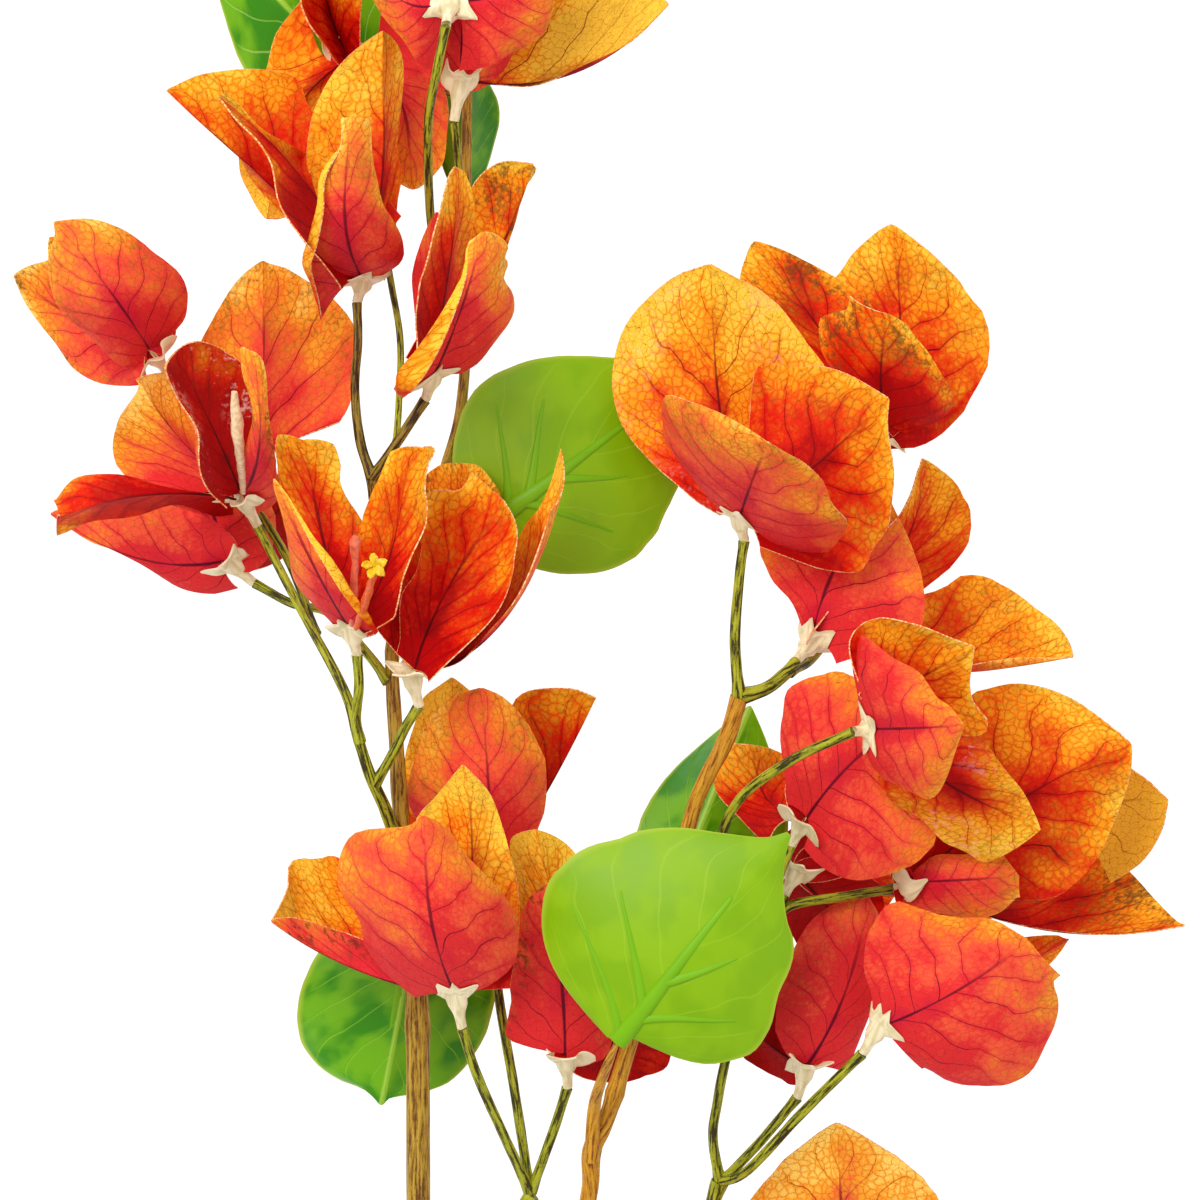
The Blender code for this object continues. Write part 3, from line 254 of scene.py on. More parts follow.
blooms = {
    "top_left": bloom("twig_top_left", (451, 4, 60),
        bract((366, -40, 48), (405, 2, 60), (392, -75, 46), (402, 66, 50), (30, 30), 0.45, "coral",
            rightLine=[(440, 70), (434, 68), (410, 52), (390, 24), (378, 0), (368, -25)]),
        bract((568, -48, 54), (512, -10, 63), (518, 60, 54), (488, -88, 52), (30, 30), 0.45, "coral",
            leftLine=[(460, 66), (483, 64), (507, 56), (531, 44), (547, 24), (549, 0), (562, -30)]),
        bract((436, -165, 40), (442, -80, 54), (510, -85, 42), (378, -95, 42), (30, 30), 0.45, "orange")),
    "top_right": bloom("twig_top_right", (460, 84, 40),
        bract((668, 5, 44), (575, 73, 36), (570, -20, 24), (560, 38, 44), (30, 30), 0.45, "flame", curl=0,
            inside="bright", rightLine=[(483, 92), (507, 86), (531, 86), (547, 80), (587, 68), (611, 60),
            (635, 52), (652, 40), (664, 20)]),
        bract((480, -85, 36), (466, 0, 42), (528, 5, 36), (408, 5, 36), (40, 40), 0.45, "orange")),
    "top_front": bloom("twig_top_front", (346, 56, 18),
        bract((278, 220, 26), (285, 130, 26), (345, 140, 18), (232, 128, 24), (40, 40), 0.45, "bright",
            point=0.5, rightLine=[(309, 28), (297, 36), (283, 52), (279, 76), (250, 110), (239, 149),
            (241, 173), (253, 193), (268, 212)]),
        bract((316, -70, 34), (325, -5, 22), (303, -2, 44), (356, -10, 36), (40, 40), 0.45, "peach"),
        bract((400, 184, 20), (402, 105, 27), (450, 115, 24), (345, 130, 21), (40, 40), 0.5, "coral",
            swapped=1, leftLine=[(385, 55), (403, 70), (430, 78), (442, 96), (448, 125), (444, 153),
            (434, 165), (415, 178)])),
    "upper_left": bloom("twig_upper_left", (362, 282, 47),
        bract((167, 98, 52), (262, 178, 42), (258, 182, 32), (322, 98, 36), (30, 40), 0.5, "orange",
            curl=20, leftLine=[(300, 226), (285, 221), (269, 211), (253, 197), (241, 177), (237, 157),
            (237, 139), (218, 127), (196, 115)], rightLine=[(340, 150), (309, 105), (297, 80), (277, 72),
            (241, 72), (200, 80)]),
        bract((221, 99, 72), (303, 180, 60), (280, 196, 74), (308, 168, 40), (50, 40), 0.5, "flame",
            inside="emberTip", curl=10, leftLine=[(340, 285), (307, 257), (289, 229), (281, 197),
            (273, 169), (261, 149), (237, 121)], rightLine=[(350, 250), (321, 217), (317, 209),
            (309, 181), (305, 161), (293, 149), (265, 129), (241, 105)]),
        bract((373, 33, 42), (384, 155, 45), (306, 135, 46), (405, 100, 36), (25, 15), 0.62, "amber",
            curl=-8, leftLine=[(345, 270), (317, 201), (309, 173), (306, 157), (311, 121), (321, 92),
            (337, 64), (357, 44)], rightLine=[(401, 241), (397, 225), (393, 201), (398, 177), (397, 149),
            (403, 109), (404, 80), (397, 52), (385, 38)]),
        bract((356, 116, 78), (345, 212, 76), (403, 240, 58), (312, 240, 64), (60, 30), 0.34, "flame",
            curl=0, rollRight=150, inside="straw", flap=0.42, cut=1, rightLine=[(322, 305), (311, 298),
            (309, 277), (308, 257), (313, 241), (319, 205), (321, 177), (329, 161), (341, 145),
            (341, 121)], leftLine=[(375, 280), (381, 273), (401, 261), (405, 245), (393, 221), (381, 201),
            (374, 169), (371, 141), (370, 118)])),
    "upper_middle": bloom("twig_upper_middle", (432, 379, 54),
        bract((463, 168, 58), (448, 275, 54), (420, 270, 66), (478, 260, 42), (50, 40), 0.5, "flame",
            curl=15, leftLine=[(420, 340), (417, 296), (417, 280), (443, 213), (447, 197), (455, 177)],
            rightLine=[(470, 300), (473, 240), (473, 200), (471, 173)]),
        bract((533, 164, 40), (498, 255, 38), (470, 215, 42), (512, 240, 30), (30, 40), 0.6, "umber",
            curl=0, leftLine=[(450, 280), (460, 230), (466, 200), (473, 183), (487, 169), (507, 161),
            (523, 158)], rightLine=[(500, 280), (507, 237), (515, 209), (523, 189), (535, 172)]),
        bract((483, 232, 80), (462, 305, 78), (514, 298, 60), (399, 345, 66), (50, 70), 0.42, "flame",
            curl=0, rollRight=150, inside="straw", flap=0.42, rightLine=[(400, 395), (391, 380),
            (395, 358), (410, 342), (446, 297), (462, 270), (469, 241)], leftLine=[(463, 372), (479, 362),
            (495, 342), (509, 314), (512, 293), (505, 281), (510, 265), (505, 257), (507, 245),
            (495, 234)]),
        bract((440, 212, 40), (430, 285, 44), (411, 265, 38), (462, 262, 40), (30, 30), 0.5, "rose",
            swapped=1, leftLine=[(415, 330), (414, 297), (414, 273), (420, 241), (430, 224)])),
    "far_left": bloom("twig_far_left", (153, 354, 38),
        bract((55, 222, 54), (107, 287, 60), (176, 262, 46), (62, 338, 46), (40, 40), 0.45, "coral",
            curl=0, rightLine=[(147, 359), (137, 367), (117, 361), (96, 345), (76, 325), (60, 305),
            (50, 280), (49, 256), (55, 238)], leftLine=[(160, 346), (169, 337), (183, 321), (186, 305),
            (183, 284), (169, 264), (145, 244), (117, 228), (88, 219)]),
        bract((14, 276, 26), (82, 322, 24), (95, 262, 14), (78, 370, 22), (40, 40), 0.45, "umber",
            rightLine=[(147, 377), (141, 383), (117, 385), (92, 379), (72, 365), (56, 345), (40, 325),
            (24, 300), (16, 282)]),
        bract((47, 237, 18), (100, 290, 18), (70, 320, 10), (150, 262, 10), (30, 30), 0.45, "umber")),
    "left_front": bloom("left_stem", (243, 499, 39),
        bract((141, 377, 44), (174, 432, 42), (106, 440, 34), (212, 388, 30), (40, 40), 0.45, "peach",
            swapped=1, leftLine=[(160, 490), (125, 480), (117, 473), (114, 461), (113, 441), (121, 415),
            (137, 391), (146, 380)]),
        bract((172, 349, 66), (212, 428, 52), (178, 408, 70), (250, 378, 48), (60, 40), 0.65, "flame",
            inside="ember", blunt=0.25, point=0.6, curl=-10, glue=0.6, leftLine=[(225, 506), (209, 489),
            (197, 457), (193, 425), (177, 393), (163, 369), (166, 358)]),
        bract((252, 357, 70), (260, 440, 72), (279, 462, 58), (243, 450, 60), (50, 50), 0.3, "umber",
            curl=25, curlFrom=0.8, leftEdge=(1.15, 1.35, 0.95, 0.5, 0.35, 0.45, 0.45),
            rightEdge=(0.2, 0.43, 0.7, 0.8, 0.7, 1.0, 0.8), lobeLeft=1.0),
        bract((60, 516, 60), (150, 495, 64), (128, 517, 46), (122, 473, 60), (40, 40), 0.6, "flame",
            inside="ember", curl=0, leftLine=[(231, 512), (213, 514), (177, 508), (137, 512), (80, 526),
            (66, 532)], rightLine=[(209, 497), (177, 487), (149, 481), (109, 477), (76, 477), (56, 500)]),
        bract((257, 259, 24), (263, 375, 26), (194, 372, 18), (360, 352, 14), (40, 40), 0.5, "coral",
            swapped=1, inside="dusk", leftLine=[(215, 470), (200, 430), (192, 390), (197, 349),
            (201, 337), (217, 309), (237, 276), (250, 263)], rightLine=[(262, 480), (281, 445),
            (322, 433), (342, 417), (354, 385), (357, 361), (354, 329), (338, 305), (310, 283),
            (281, 266), (265, 262)])),
    "left_low": bloom("twig_left_low", (229, 563, 32),
        bract((51, 514, 22), (138, 558, 28), (150, 498, 32), (160, 596, 18), (40, 40), 0.5, "pink",
            curl=0, rightLine=[(215, 592), (201, 590), (169, 582), (141, 566), (113, 550), (80, 534)]),
        bract((185, 400, 12), (205, 485, 20), (270, 500, 14), (165, 512, 16), (40, 40), 0.45, "coral"),
        bract((304, 478, 6), (270, 520, 10), (236, 488, 6), (298, 545, 6), (20, 20), 0.45, "rose")),
    "centre_left": bloom("twig_centre_left", (352, 633, 54),
        bract((306, 436, 44), (322, 535, 44), (281, 487, 44), (350, 500, 42), (40, 40), 0.65, "umber",
            inside="flame", curl=35, curlFrom=0.75, leftEdge=(0.3, 0.6, 0.8, 1.0, 1.0, 0.95, 0.6),
            rightEdge=(0.3, 0.9, 1.2, 1.25, 0.85, 0.9, 0.75)),
        bract((405, 445, 64), (392, 550, 58), (362, 540, 46), (420, 540, 66), (50, 60), 0.5, "flame",
            curl=30, curlFrom=0.75, lobeRight=0.3, leftEdge=(0.3, 0.5, 0.7, 1.0, 1.0, 0.83, 0.7),
            rightEdge=(1.5, 1.07, 0.95, 1.0, 0.88, 0.72, 0.68)),
        bract((274, 479, 70), (312, 562, 76), (340, 565, 76), (294, 568, 58), (50, 40), 0.5, "flame",
            lobeLeft=0.5, rollLeft=150, leftEdge=(1.1, 1.2, 1.05, 0.95, 0.6, 0.35, 0.1),
            rightEdge=(0.3, 0.7, 1.0, 1.0, 0.6, 0.3, 0.1), inside="straw", flap=0.36)),
    "centre_right": bloom("twig_centre_right", (411, 677, 54),
        bract((504, 506, 54), (446, 592, 46), (404, 530, 44), (514, 575, 54), (50, 50), 0.6, "flame",
            leftLine=[(400, 640), (402, 597), (417, 569), (423, 533), (423, 500), (430, 494), (460, 496)],
            rightLine=[(433, 681), (465, 649), (497, 609), (513, 573), (517, 541), (512, 520)]),
        bract((550, 511, 58), (497, 628, 52), (502, 570, 36), (474, 632, 70), (50, 50), 0.45, "flame",
            curl=0, leftLine=[(505, 560), (513, 530), (529, 514), (540, 512)], rightLine=[(477, 661),
            (505, 625), (521, 585), (529, 569), (547, 537)]),
        bract((455, 461, 36), (450, 560, 38), (412, 505, 32), (505, 520, 32), (40, 40), 0.55, "umber",
            leftLine=[(405, 560), (418, 490), (424, 476), (437, 463)], rightLine=[(510, 540), (501, 496),
            (489, 478), (473, 463)])),
    "centre_low": bloom("twig_centre_low", (493, 878, 22),
        bract((481, 691, 32), (489, 790, 36), (552, 785, 26), (408, 785, 26), (40, 40), 0.48, "coral",
            rightLine=[(440, 860), (425, 840), (415, 820), (409, 796), (413, 772), (417, 752), (429, 722),
            (449, 704), (465, 695)], leftLine=[(530, 850), (537, 828), (545, 812), (548, 792), (545, 764),
            (537, 746), (521, 718), (501, 699)]),
        bract((461, 679, 18), (455, 780, 16), (400, 778, 12), (520, 770, 10), (40, 40), 0.48, "gold",
            leftLine=[(430, 850), (405, 820), (401, 798), (403, 762), (417, 722), (429, 698),
            (445, 688)]),
        bract((596, 698, 22), (549, 788, 12), (500, 742, 16), (530, 770, 3), (30, 30), 0.5, "coral",
            curl=0, leftLine=[(500, 800), (505, 730), (511, 707), (521, 695), (541, 689), (574, 689)])),
    "low_left": bloom("twig_low_left", (456, 1000, 54),
        bract((429, 823, 70), (430, 912, 76), (524, 925, 58), (338, 890, 60), (40, 40), 0.5, "pink",
            rightLine=[(421, 995), (401, 981), (381, 965), (365, 945), (357, 917), (345, 893), (341, 873),
            (343, 849), (361, 836), (389, 834), (413, 832)], leftLine=[(470, 993), (489, 985), (509, 965),
            (519, 941), (517, 917), (505, 897), (485, 877), (465, 857), (449, 832)]),
        bract((272, 922, 52), (352, 968, 46), (345, 932, 48), (322, 856, 30), (50, 50), 0.5, "wine",
            inside="gold", point=0.7, rightLine=[(400, 890), (341, 857), (312, 860), (288, 865),
            (290, 879), (280, 905)]),
        bract((463, 765, 54), (472, 868, 52), (410, 845, 46), (518, 865, 50), (40, 40), 0.5, "amber",
            inside="gold", leftLine=[(400, 900), (405, 850), (417, 826), (419, 816), (433, 800),
            (449, 780)], rightLine=[(520, 930), (519, 905), (509, 849), (501, 820), (489, 792),
            (471, 772)])),
    "low_middle": bloom("twig_low_middle", (566, 1060, 36),
        bract((546, 884, 42), (560, 965, 40), (612, 972, 34), (511, 972, 38), (40, 40), 0.5, "wine",
            leftEdge=(0.6, 0.9, 0.95, 0.9, 0.8, 0.6, 0.25), rightLine=[(560, 1053), (529, 1046),
            (508, 1037), (509, 1010), (511, 1001), (509, 973), (517, 949), (519, 921), (529, 897),
            (540, 888)]),
        bract((530, 832, 38), (560, 935, 36), (500, 892, 33), (606, 910, 28), (40, 40), 0.5, "gold",
            leftLine=[(515, 930), (513, 885), (511, 861), (509, 840), (515, 834)], rightLine=[(600, 900),
            (590, 880), (576, 857), (562, 843), (545, 835)]),
        bract((680, 1012, 12), (638, 1035, 20), (612, 965, 12), (652, 1075, 18), (30, 30), 0.45, "rose")),
    "large": bloom("twig_large", (739, 520, 50),
        bract((713, 266, 38), (718, 395, 34), (608, 390, 28), (826, 385, 26), (40, 40), 0.5, "gold",
            glue=0.12, leftLine=[(720, 515), (698, 502), (685, 491), (656, 466), (626, 432), (614, 403),
            (613, 369), (626, 327), (652, 297), (681, 276)], rightLine=[(780, 500), (830, 440),
            (838, 400), (825, 369), (808, 343), (787, 314), (761, 291), (736, 278)]),
        bract((885, 398, 50), (815, 466, 44), (752, 372, 36), (878, 545, 42), (40, 40), 0.5, "flame",
            leftLine=[(745, 470), (752, 400), (761, 363), (791, 367), (821, 367), (850, 377)],
            rightLine=[(760, 545), (800, 561), (816, 567), (846, 572), (863, 569), (875, 546), (888, 525),
            (892, 495), (892, 470), (885, 428)]),
        bract((768, 442, 90), (752, 482, 72), (850, 520, 62), (656, 415, 66), (50, 50), 0.42, "coral",
            rightLine=[(707, 496), (686, 470), (671, 445), (662, 415), (661, 402), (671, 396), (698, 403),
            (724, 415), (749, 429)], leftLine=[(808, 561), (829, 551), (843, 536), (847, 517), (834, 502),
            (821, 481), (800, 460), (785, 452)])),
    "upper_right": bloom("twig_upper_right", (886, 432, 20),
        bract((754, 244, 16), (822, 332, 12), (752, 335, 4), (872, 308, 8), (40, 40), 0.5, "umber"),
        bract((887, 230, 12), (900, 325, 6), (832, 300, 2), (990, 335, 2), (40, 40), 0.5, "amber"),
        bract((890, 311, 38), (881, 370, 34), (960, 390, 24), (810, 345, 24), (40, 40), 0.42, "umber",
            inside="dusk", swapped=1, rightLine=[(895, 428), (870, 415), (845, 385), (825, 350),
            (818, 322), (830, 314), (850, 308)], leftLine=[(905, 432), (940, 418), (955, 400), (942, 375),
            (930, 355), (915, 335), (905, 320)])),
    "right_upper": bloom("twig_right_upper", (809, 645, 32),
        bract((880, 498, 16), (836, 566, 32), (928, 598, 32), (754, 558, 28), (40, 40), 0.48, "pink",
            rightLine=[(803, 628), (800, 620), (791, 601), (774, 584), (766, 567), (759, 546), (770, 520),
            (800, 500), (840, 492)], leftLine=[(841, 665), (870, 655), (905, 645), (922, 625), (924, 600),
            (918, 567), (905, 538), (892, 517)]),
        bract((922, 459, 20), (898, 555, 14), (890, 525, 26), (968, 540, 6), (40, 40), 0.5, "amber",
            inside="flame"),
        bract((1064, 648, 20), (955, 672, 12), (1005, 580, 2), (990, 592, 28), (40, 40), 0.65, "amber",
            leftLine=[(900, 600), (940, 590), (951, 584), (960, 577), (985, 578), (1011, 588),
            (1032, 605), (1052, 620), (1062, 636)], rightLine=[(900, 665), (971, 663), (1020, 658),
            (1047, 653)])),
    "right_front": bloom("twig_right_front", (869, 729, 60),
        bract((968, 725, 88), (918, 728, 80), (905, 795, 62), (872, 634, 64), (50, 50), 0.42, "pink",
            rightLine=[(862, 715), (857, 690), (851, 660), (853, 633), (871, 638), (896, 660), (921, 675),
            (936, 695), (955, 708)], leftLine=[(866, 740), (873, 761), (891, 783), (916, 793), (941, 791),
            (969, 746)]),
        bract((969, 657, 66), (915, 682, 56), (880, 618, 62), (975, 728, 52), (40, 40), 0.5, "amber",
            leftLine=[(862, 690), (851, 660), (851, 635), (866, 623), (891, 619), (916, 625), (946, 643)],
            rightLine=[(950, 735), (975, 735), (984, 731), (986, 718), (976, 708), (969, 690),
            (968, 675)]),
        bract((1038, 823, 42), (962, 792, 52), (905, 826, 44), (1010, 758, 46), (40, 40), 0.5, "amber",
            glue=0.3, swapped=1, rightLine=[(905, 720), (940, 722), (979, 736), (1001, 766), (1026, 796),
            (1036, 815)], leftLine=[(872, 745), (876, 766), (881, 786), (901, 808), (921, 821),
            (941, 838), (961, 846), (981, 855), (1006, 851)])),
    "right_inner": bloom("twig_right_inner", (802, 823, 38),
        bract((905, 722, 40), (850, 765, 46), (912, 868, 40), (795, 688, 40), (40, 40), 0.5, "pink",
            rightLine=[(790, 805), (785, 771), (780, 735), (783, 715), (790, 690), (811, 678), (836, 673),
            (851, 680), (880, 695)], leftLine=[(808, 851), (821, 866), (846, 879), (876, 878), (911, 866),
            (931, 846), (934, 835), (930, 800), (920, 760)]),
        bract((757, 744, 24), (764, 795, 24), (716, 772, 18), (802, 768, 16), (40, 40), 0.68, "orange",
            leftLine=[(735, 818), (720, 801), (714, 785), (715, 776), (730, 751)]),
        bract((862, 738, 28), (832, 780, 31), (800, 742, 27), (880, 792, 25), (30, 30), 0.5, "rose")),
    "right_small": bloom("riser_stem", (796, 872, 30),
        bract((845, 800, 16), (815, 845, 22), (785, 838, 18), (872, 855, 12), (40, 40), 0.5, "rose"),
        bract((872, 955, 16), (835, 915, 20), (880, 885, 12), (800, 950, 14), (40, 40), 0.5, "rose"),
        bract((900, 860, 6), (850, 868, 12), (850, 830, 4), (880, 910, 4), (30, 30), 0.5, "coral")),
    "far_right": bloom("twig_far_right", (910, 882, 28),
        bract((1131, 744, 34), (1020, 800, 32), (955, 698, 26), (1078, 888, 26), (40, 40), 0.5, "orange",
            leftLine=[(930, 850), (945, 790), (958, 730), (969, 695), (991, 688), (1022, 684),
            (1052, 690), (1082, 705), (1117, 731)], rightLine=[(960, 900), (1011, 901), (1052, 896),
            (1077, 881), (1102, 851), (1117, 816), (1130, 776), (1132, 755)]),
        bract((1019, 876, 38), (960, 880, 38), (962, 918, 31), (935, 848, 26), (40, 40), 0.5, "coral",
            rightLine=[(905, 866), (921, 861), (961, 854), (1001, 851), (1013, 852)],
            leftLine=[(900, 890), (916, 904), (941, 915), (971, 918), (1001, 911), (1016, 897)]),
        bract((1184, 926, 14), (1045, 930, 10), (1112, 856, 2), (1048, 934, 26), (12, 12), 0.5, "umber",
            ruffle=0.2, leftLine=[(979, 917), (1011, 901), (1052, 891), (1102, 855), (1117, 859),
            (1132, 874), (1152, 896), (1178, 922)], rightLine=[(940, 904), (996, 922), (1045, 931),
            (1100, 929), (1150, 928)]),
        bract((1168, 800, 16), (1060, 815, 8), (1030, 745, 2), (1080, 900, 2), (40, 40), 0.6, "straw",
            point=0.45)),
    "right_low": bloom("twig_right_low", (876, 1030, 46),
        bract((1028, 940, 52), (962, 988, 58), (1032, 1052, 46), (878, 918, 46), (40, 40), 0.55, "pink",
            rightLine=[(873, 1012), (873, 997), (866, 972), (866, 942), (873, 922), (886, 907),
            (906, 902), (926, 912), (956, 918), (996, 921)], leftLine=[(926, 1067), (946, 1080),
            (976, 1087), (1001, 1085), (1027, 1072), (1042, 1052), (1054, 1027), (1058, 1002),
            (1052, 982)]),
        bract((1075, 930, 3), (990, 985, 14), (980, 950, 8), (1000, 1000, 8), (40, 40), 0.5, "coral")),
    "low_right": bloom("twig_low_right", (806, 1070, 36),
        bract((868, 898, 22), (846, 990, 34), (898, 1003, 22), (772, 985, 32), (40, 40), 0.5, "rose",
            rightLine=[(802, 1062), (790, 1057), (777, 1035), (775, 1027), (780, 992), (795, 947),
            (816, 917), (841, 902)], leftLine=[(851, 1062), (865, 1030), (871, 1002), (880, 950),
            (878, 915)]),
        bract((705, 975, 20), (752, 1030, 28), (752, 1062, 24), (770, 980, 20), (40, 40), 0.5, "rose")),
    "bottom_right": bloom("twig_bottom_right", (846, 1338, 22),
        bract((836, 1124, 30), (842, 1222, 24), (742, 1228, 16), (946, 1220, 18), (40, 40), 0.5, "peach",
            swapped=1),
        bract((715, 1252, 40), (780, 1292, 42), (800, 1240, 34), (745, 1345, 32), (40, 40), 0.5,
            "orange"),
        bract((985, 1330, 30), (915, 1325, 38), (915, 1390, 26), (925, 1262, 28), (40, 40), 0.5,
            "coral")),
}


def leaf(stalk, half, base, tip, middle, left, right, bows, widest, **more):
    form = {"stalk": stalk, "half": half, "base": base, "tip": tip, "middle": middle, "left": left}
    return {**form, "right": right, "bowLeft": bows[0], "bowRight": bows[1], "widest": widest, **more}


leaves = {
    "top": leaf([(467, 98, 22), (440, 90, 18), (400, 80, 10), (345, 66, 5)], [4, 4, 4, 4], (345, 66, 5),
        (205, -80, 6), (280, 0, 12), (255, 85, 4), (350, -95, 4), (20, 20), 0.4),
    "small": leaf([(466, 212, 22), (462, 182, 16)], [3.5, 3.5], (462, 182, 16), (470, 58, 8),
        (466, 115, 13), (438, 120, 9), (498, 120, 5), (20, 20), 0.4),
    "middle": leaf([(440, 485, 20), (470, 515, 25), (502, 513, 26)], [5, 5, 5], (502, 513, 26),
        (705, 368, 14), (585, 458, 26), (640, 552, 18), (500, 370, 24), (20, 20), 0.36),
    "front": leaf([(592, 1160, 28), (594, 1110, 34), (601, 1082, 44), (617, 1042, 58)], [8, 7, 6, 5],
        (617, 1042, 58), (789, 834, 62), (696, 950, 64), (767, 1034, 56), (562, 865, 56), (20, 20), 0.38,
        rightLine=[(608, 1036), (600, 1027), (585, 1010), (565, 985), (551, 960), (543, 930), (545, 895),
        (558, 870), (586, 848), (618, 840), (640, 831), (680, 828), (725, 834), (765, 838)],
        leftLine=[(625, 1040), (636, 1038), (656, 1048), (681, 1058), (706, 1063), (731, 1060),
        (753, 1052), (770, 1027), (778, 992), (790, 965), (793, 942), (786, 920), (783, 890),
        (784, 860)]),
    "back": leaf([(657, 955, 32), (666, 925, 20), (672, 905, 10)], [4, 4, 4], (672, 905, 10),
        (750, 706, 8), (705, 815, 9), (642, 815, 3), (785, 850, 2), (20, 20), 0.4),
    "low": leaf([(412, 925, 30), (414, 930, 20), (412, 935, 14)], [4, 4, 4], (413, 935, 14),
        (381, 1105, 10), (398, 1020, 14), (491, 1013, 6), (303, 1000, 6), (20, 20), 0.45,
        leftLine=[(445, 935), (480, 955), (495, 981), (491, 1013), (477, 1050), (449, 1082), (417, 1094),
        (393, 1097)], rightLine=[(385, 935), (340, 940), (322, 949), (306, 977), (297, 1009), (300, 1037),
        (316, 1062), (336, 1078), (361, 1088), (373, 1097)]),
}


# Lines and tubes.


def rounded(course, steps):
    # smooth curve through a course of places
    if len(course) < 3:
        return [course[0].lerp(course[-1], k / steps) for k in range(steps + 1)]
    ends = [2 * course[0] - course[1]] + course + [2 * course[-1] - course[-2]]
    line = []
    for i in range(1, len(ends) - 2):
        a, b, c, d = ends[i - 1:i + 3]
        for k in range(steps):
            t = k / steps
            line.append(0.5 * (2 * b + (c - a) * t + (2 * a - 5 * b + 4 * c - d) * t * t
                               + (3 * b - a - 3 * c + d) * t ** 3))
    line.append(course[-1].copy())
    return line


def spread(values, count):
    found = []
    for i in range(count):
        t = i / (count - 1) * (len(values) - 1)
        k = min(int(t), len(values) - 2)
        found.append(values[k] + (values[k + 1] - values[k]) * (t - k))
    return found


def eased(low, high, value):
    t = min(max((value - low) / (high - low), 0.0), 1.0)
    return t * t * (3 - 2 * t)


class Sheets:
    # gathers the corners, faces and spread values of one piece
    def __init__(self, names):
        self.corners = []
        self.faces = []
        self.slots = []
        self.values = {name: [] for name in names}

    def corner(self, point, **values):
        self.corners.append(tuple(point))
        for name, held in self.values.items():
            held.extend(values[name])
        return len(self.corners) - 1

    def face(self, corners, slot=0):
        self.faces.append(tuple(corners))
        self.slots.append(slot)

    def make(self, name, materials, sharp=50):
        mesh = bpy.data.meshes.new(name)
        mesh.from_pydata(self.corners, [], self.faces)
        for material in materials:
            mesh.materials.append(material)
        mesh.polygons.foreach_set("material_index", self.slots)
        for key, held in self.values.items():
            mesh.attributes.new(key, "FLOAT_VECTOR", "POINT").data.foreach_set("vector", held)
        mesh.shade_smooth()
        mesh.set_sharp_from_angle(angle=math.radians(sharp))
        piece = bpy.data.objects.new(name, mesh)
        bpy.context.scene.collection.objects.link(piece)
        return piece


def skin(sheets, line, radii, sides, seed, shape=None):
    # a round skin along a line; shape scales each radius by ring, turn and distance along
    side = None
    along = 0.0
    first = len(sheets.corners)
    for i, spot in enumerate(line):
        way = (line[min(i + 1, len(line) - 1)] - line[max(i - 1, 0)]).normalized()
        if side is None:
            side = way.cross(Vector((0.13, 0.21, 1.0))).normalized()
        side = (side - way * side.dot(way)).normalized()
        other = way.cross(side)
        along += (spot - line[i - 1]).length if i else 0.0
        for k in range(sides + 1):
            turn = 2 * math.pi * k / sides
            radius = radii[i] * (shape(i, turn, along) if shape else 1.0)
            point = spot + radius * (math.cos(turn) * side + math.sin(turn) * other)
            sheets.corner(point, flat=(radii[i] * turn / mm, along / mm, seed))
    ring = sides + 1
    for i in range(len(line) - 1):
        for k in range(sides):
            a = first + i * ring + k
            sheets.face((a, a + 1, a + 1 + ring, a + ring))
    for i, turned in ((0, True), (len(line) - 1, False)):
        rim = [first + i * ring + k for k in range(sides)]
        middle = sheets.corner(line[i], flat=(0.0, 0.0, seed))
        for k in range(sides):
            a, b = rim[k], rim[(k + 1) % sides]
            sheets.face((b, a, middle) if turned else (a, b, middle))


# Finishes.

palettes = {
    "outside": {
        "red": linear(220, 44, 46), "coral": linear(236, 84, 54), "orange": linear(238, 118, 42),
        "gold": linear(244, 162, 44), "straw": linear(254, 212, 100), "vein": linear(150, 18, 26),
        "heart": linear(196, 18, 52), "root": linear(96, 8, 36),
    },
    # the inner face has its own deeper red print, and its reds are darkened further as painted shade for
    # inner faces lying in the folds of the cups
    "inside": {
        "red": linear(176, 2, 4), "coral": linear(216, 32, 5), "orange": linear(226, 84, 8),
        "gold": linear(244, 152, 22), "straw": linear(255, 206, 62), "vein": linear(130, 8, 8),
        "heart": linear(128, 2, 6), "root": linear(78, 4, 12),
    },
}
palette = {
    "umber": linear(92, 40, 24),
    "veinBrown": linear(172, 36, 6),
    "frayed": linear(246, 206, 150),
    "glue": linear(250, 214, 198),
# whitish glue, with its sheen painted in as a highlight
}

# Each tone says how far the red base spreads, how golden the edge is and how smudged it is.
tones = {
    "rose": (0.95, 0.1, 0.25),
    "wine": (0.9, 0.35, 1.2),
    "dusk": (0.5, 0.62, 0.55),
    "bright": (-1.2, 1.0, 0.25),
    "pink": (0.62, 0.3, 0.2),
    "coral": (0.5, 0.42, 0.45),
    "orange": (0.35, 0.5, 0.4),
    "amber": (0.25, 0.72, 0.45),
    "gold": (0.05, 0.95, 0.35),
    "peach": (0.2, 0.85, 0.1),
    "ember": (1.0, 0.3, 0.5),
    "umber": (0.4, 0.6, 1.0),
    "flame": (0.9, 0.85, 0.4),
    "straw": (0.0, 1.3, 0.1),
    "emberTip": (1.3, 0.95, 0.5),
}


clothForm = {
    "grainScale": 0.6,
    "veins": 5.6,
    "veinSlant": 2.3,
    "netScale": 0.56,
    "laceScale": 1.3,
    # glow: the share of its own colour the cloth gives off, a painted glow standing in for light passing
    # through it
    "glow": 0.05,
    "relief": 0.4,
}


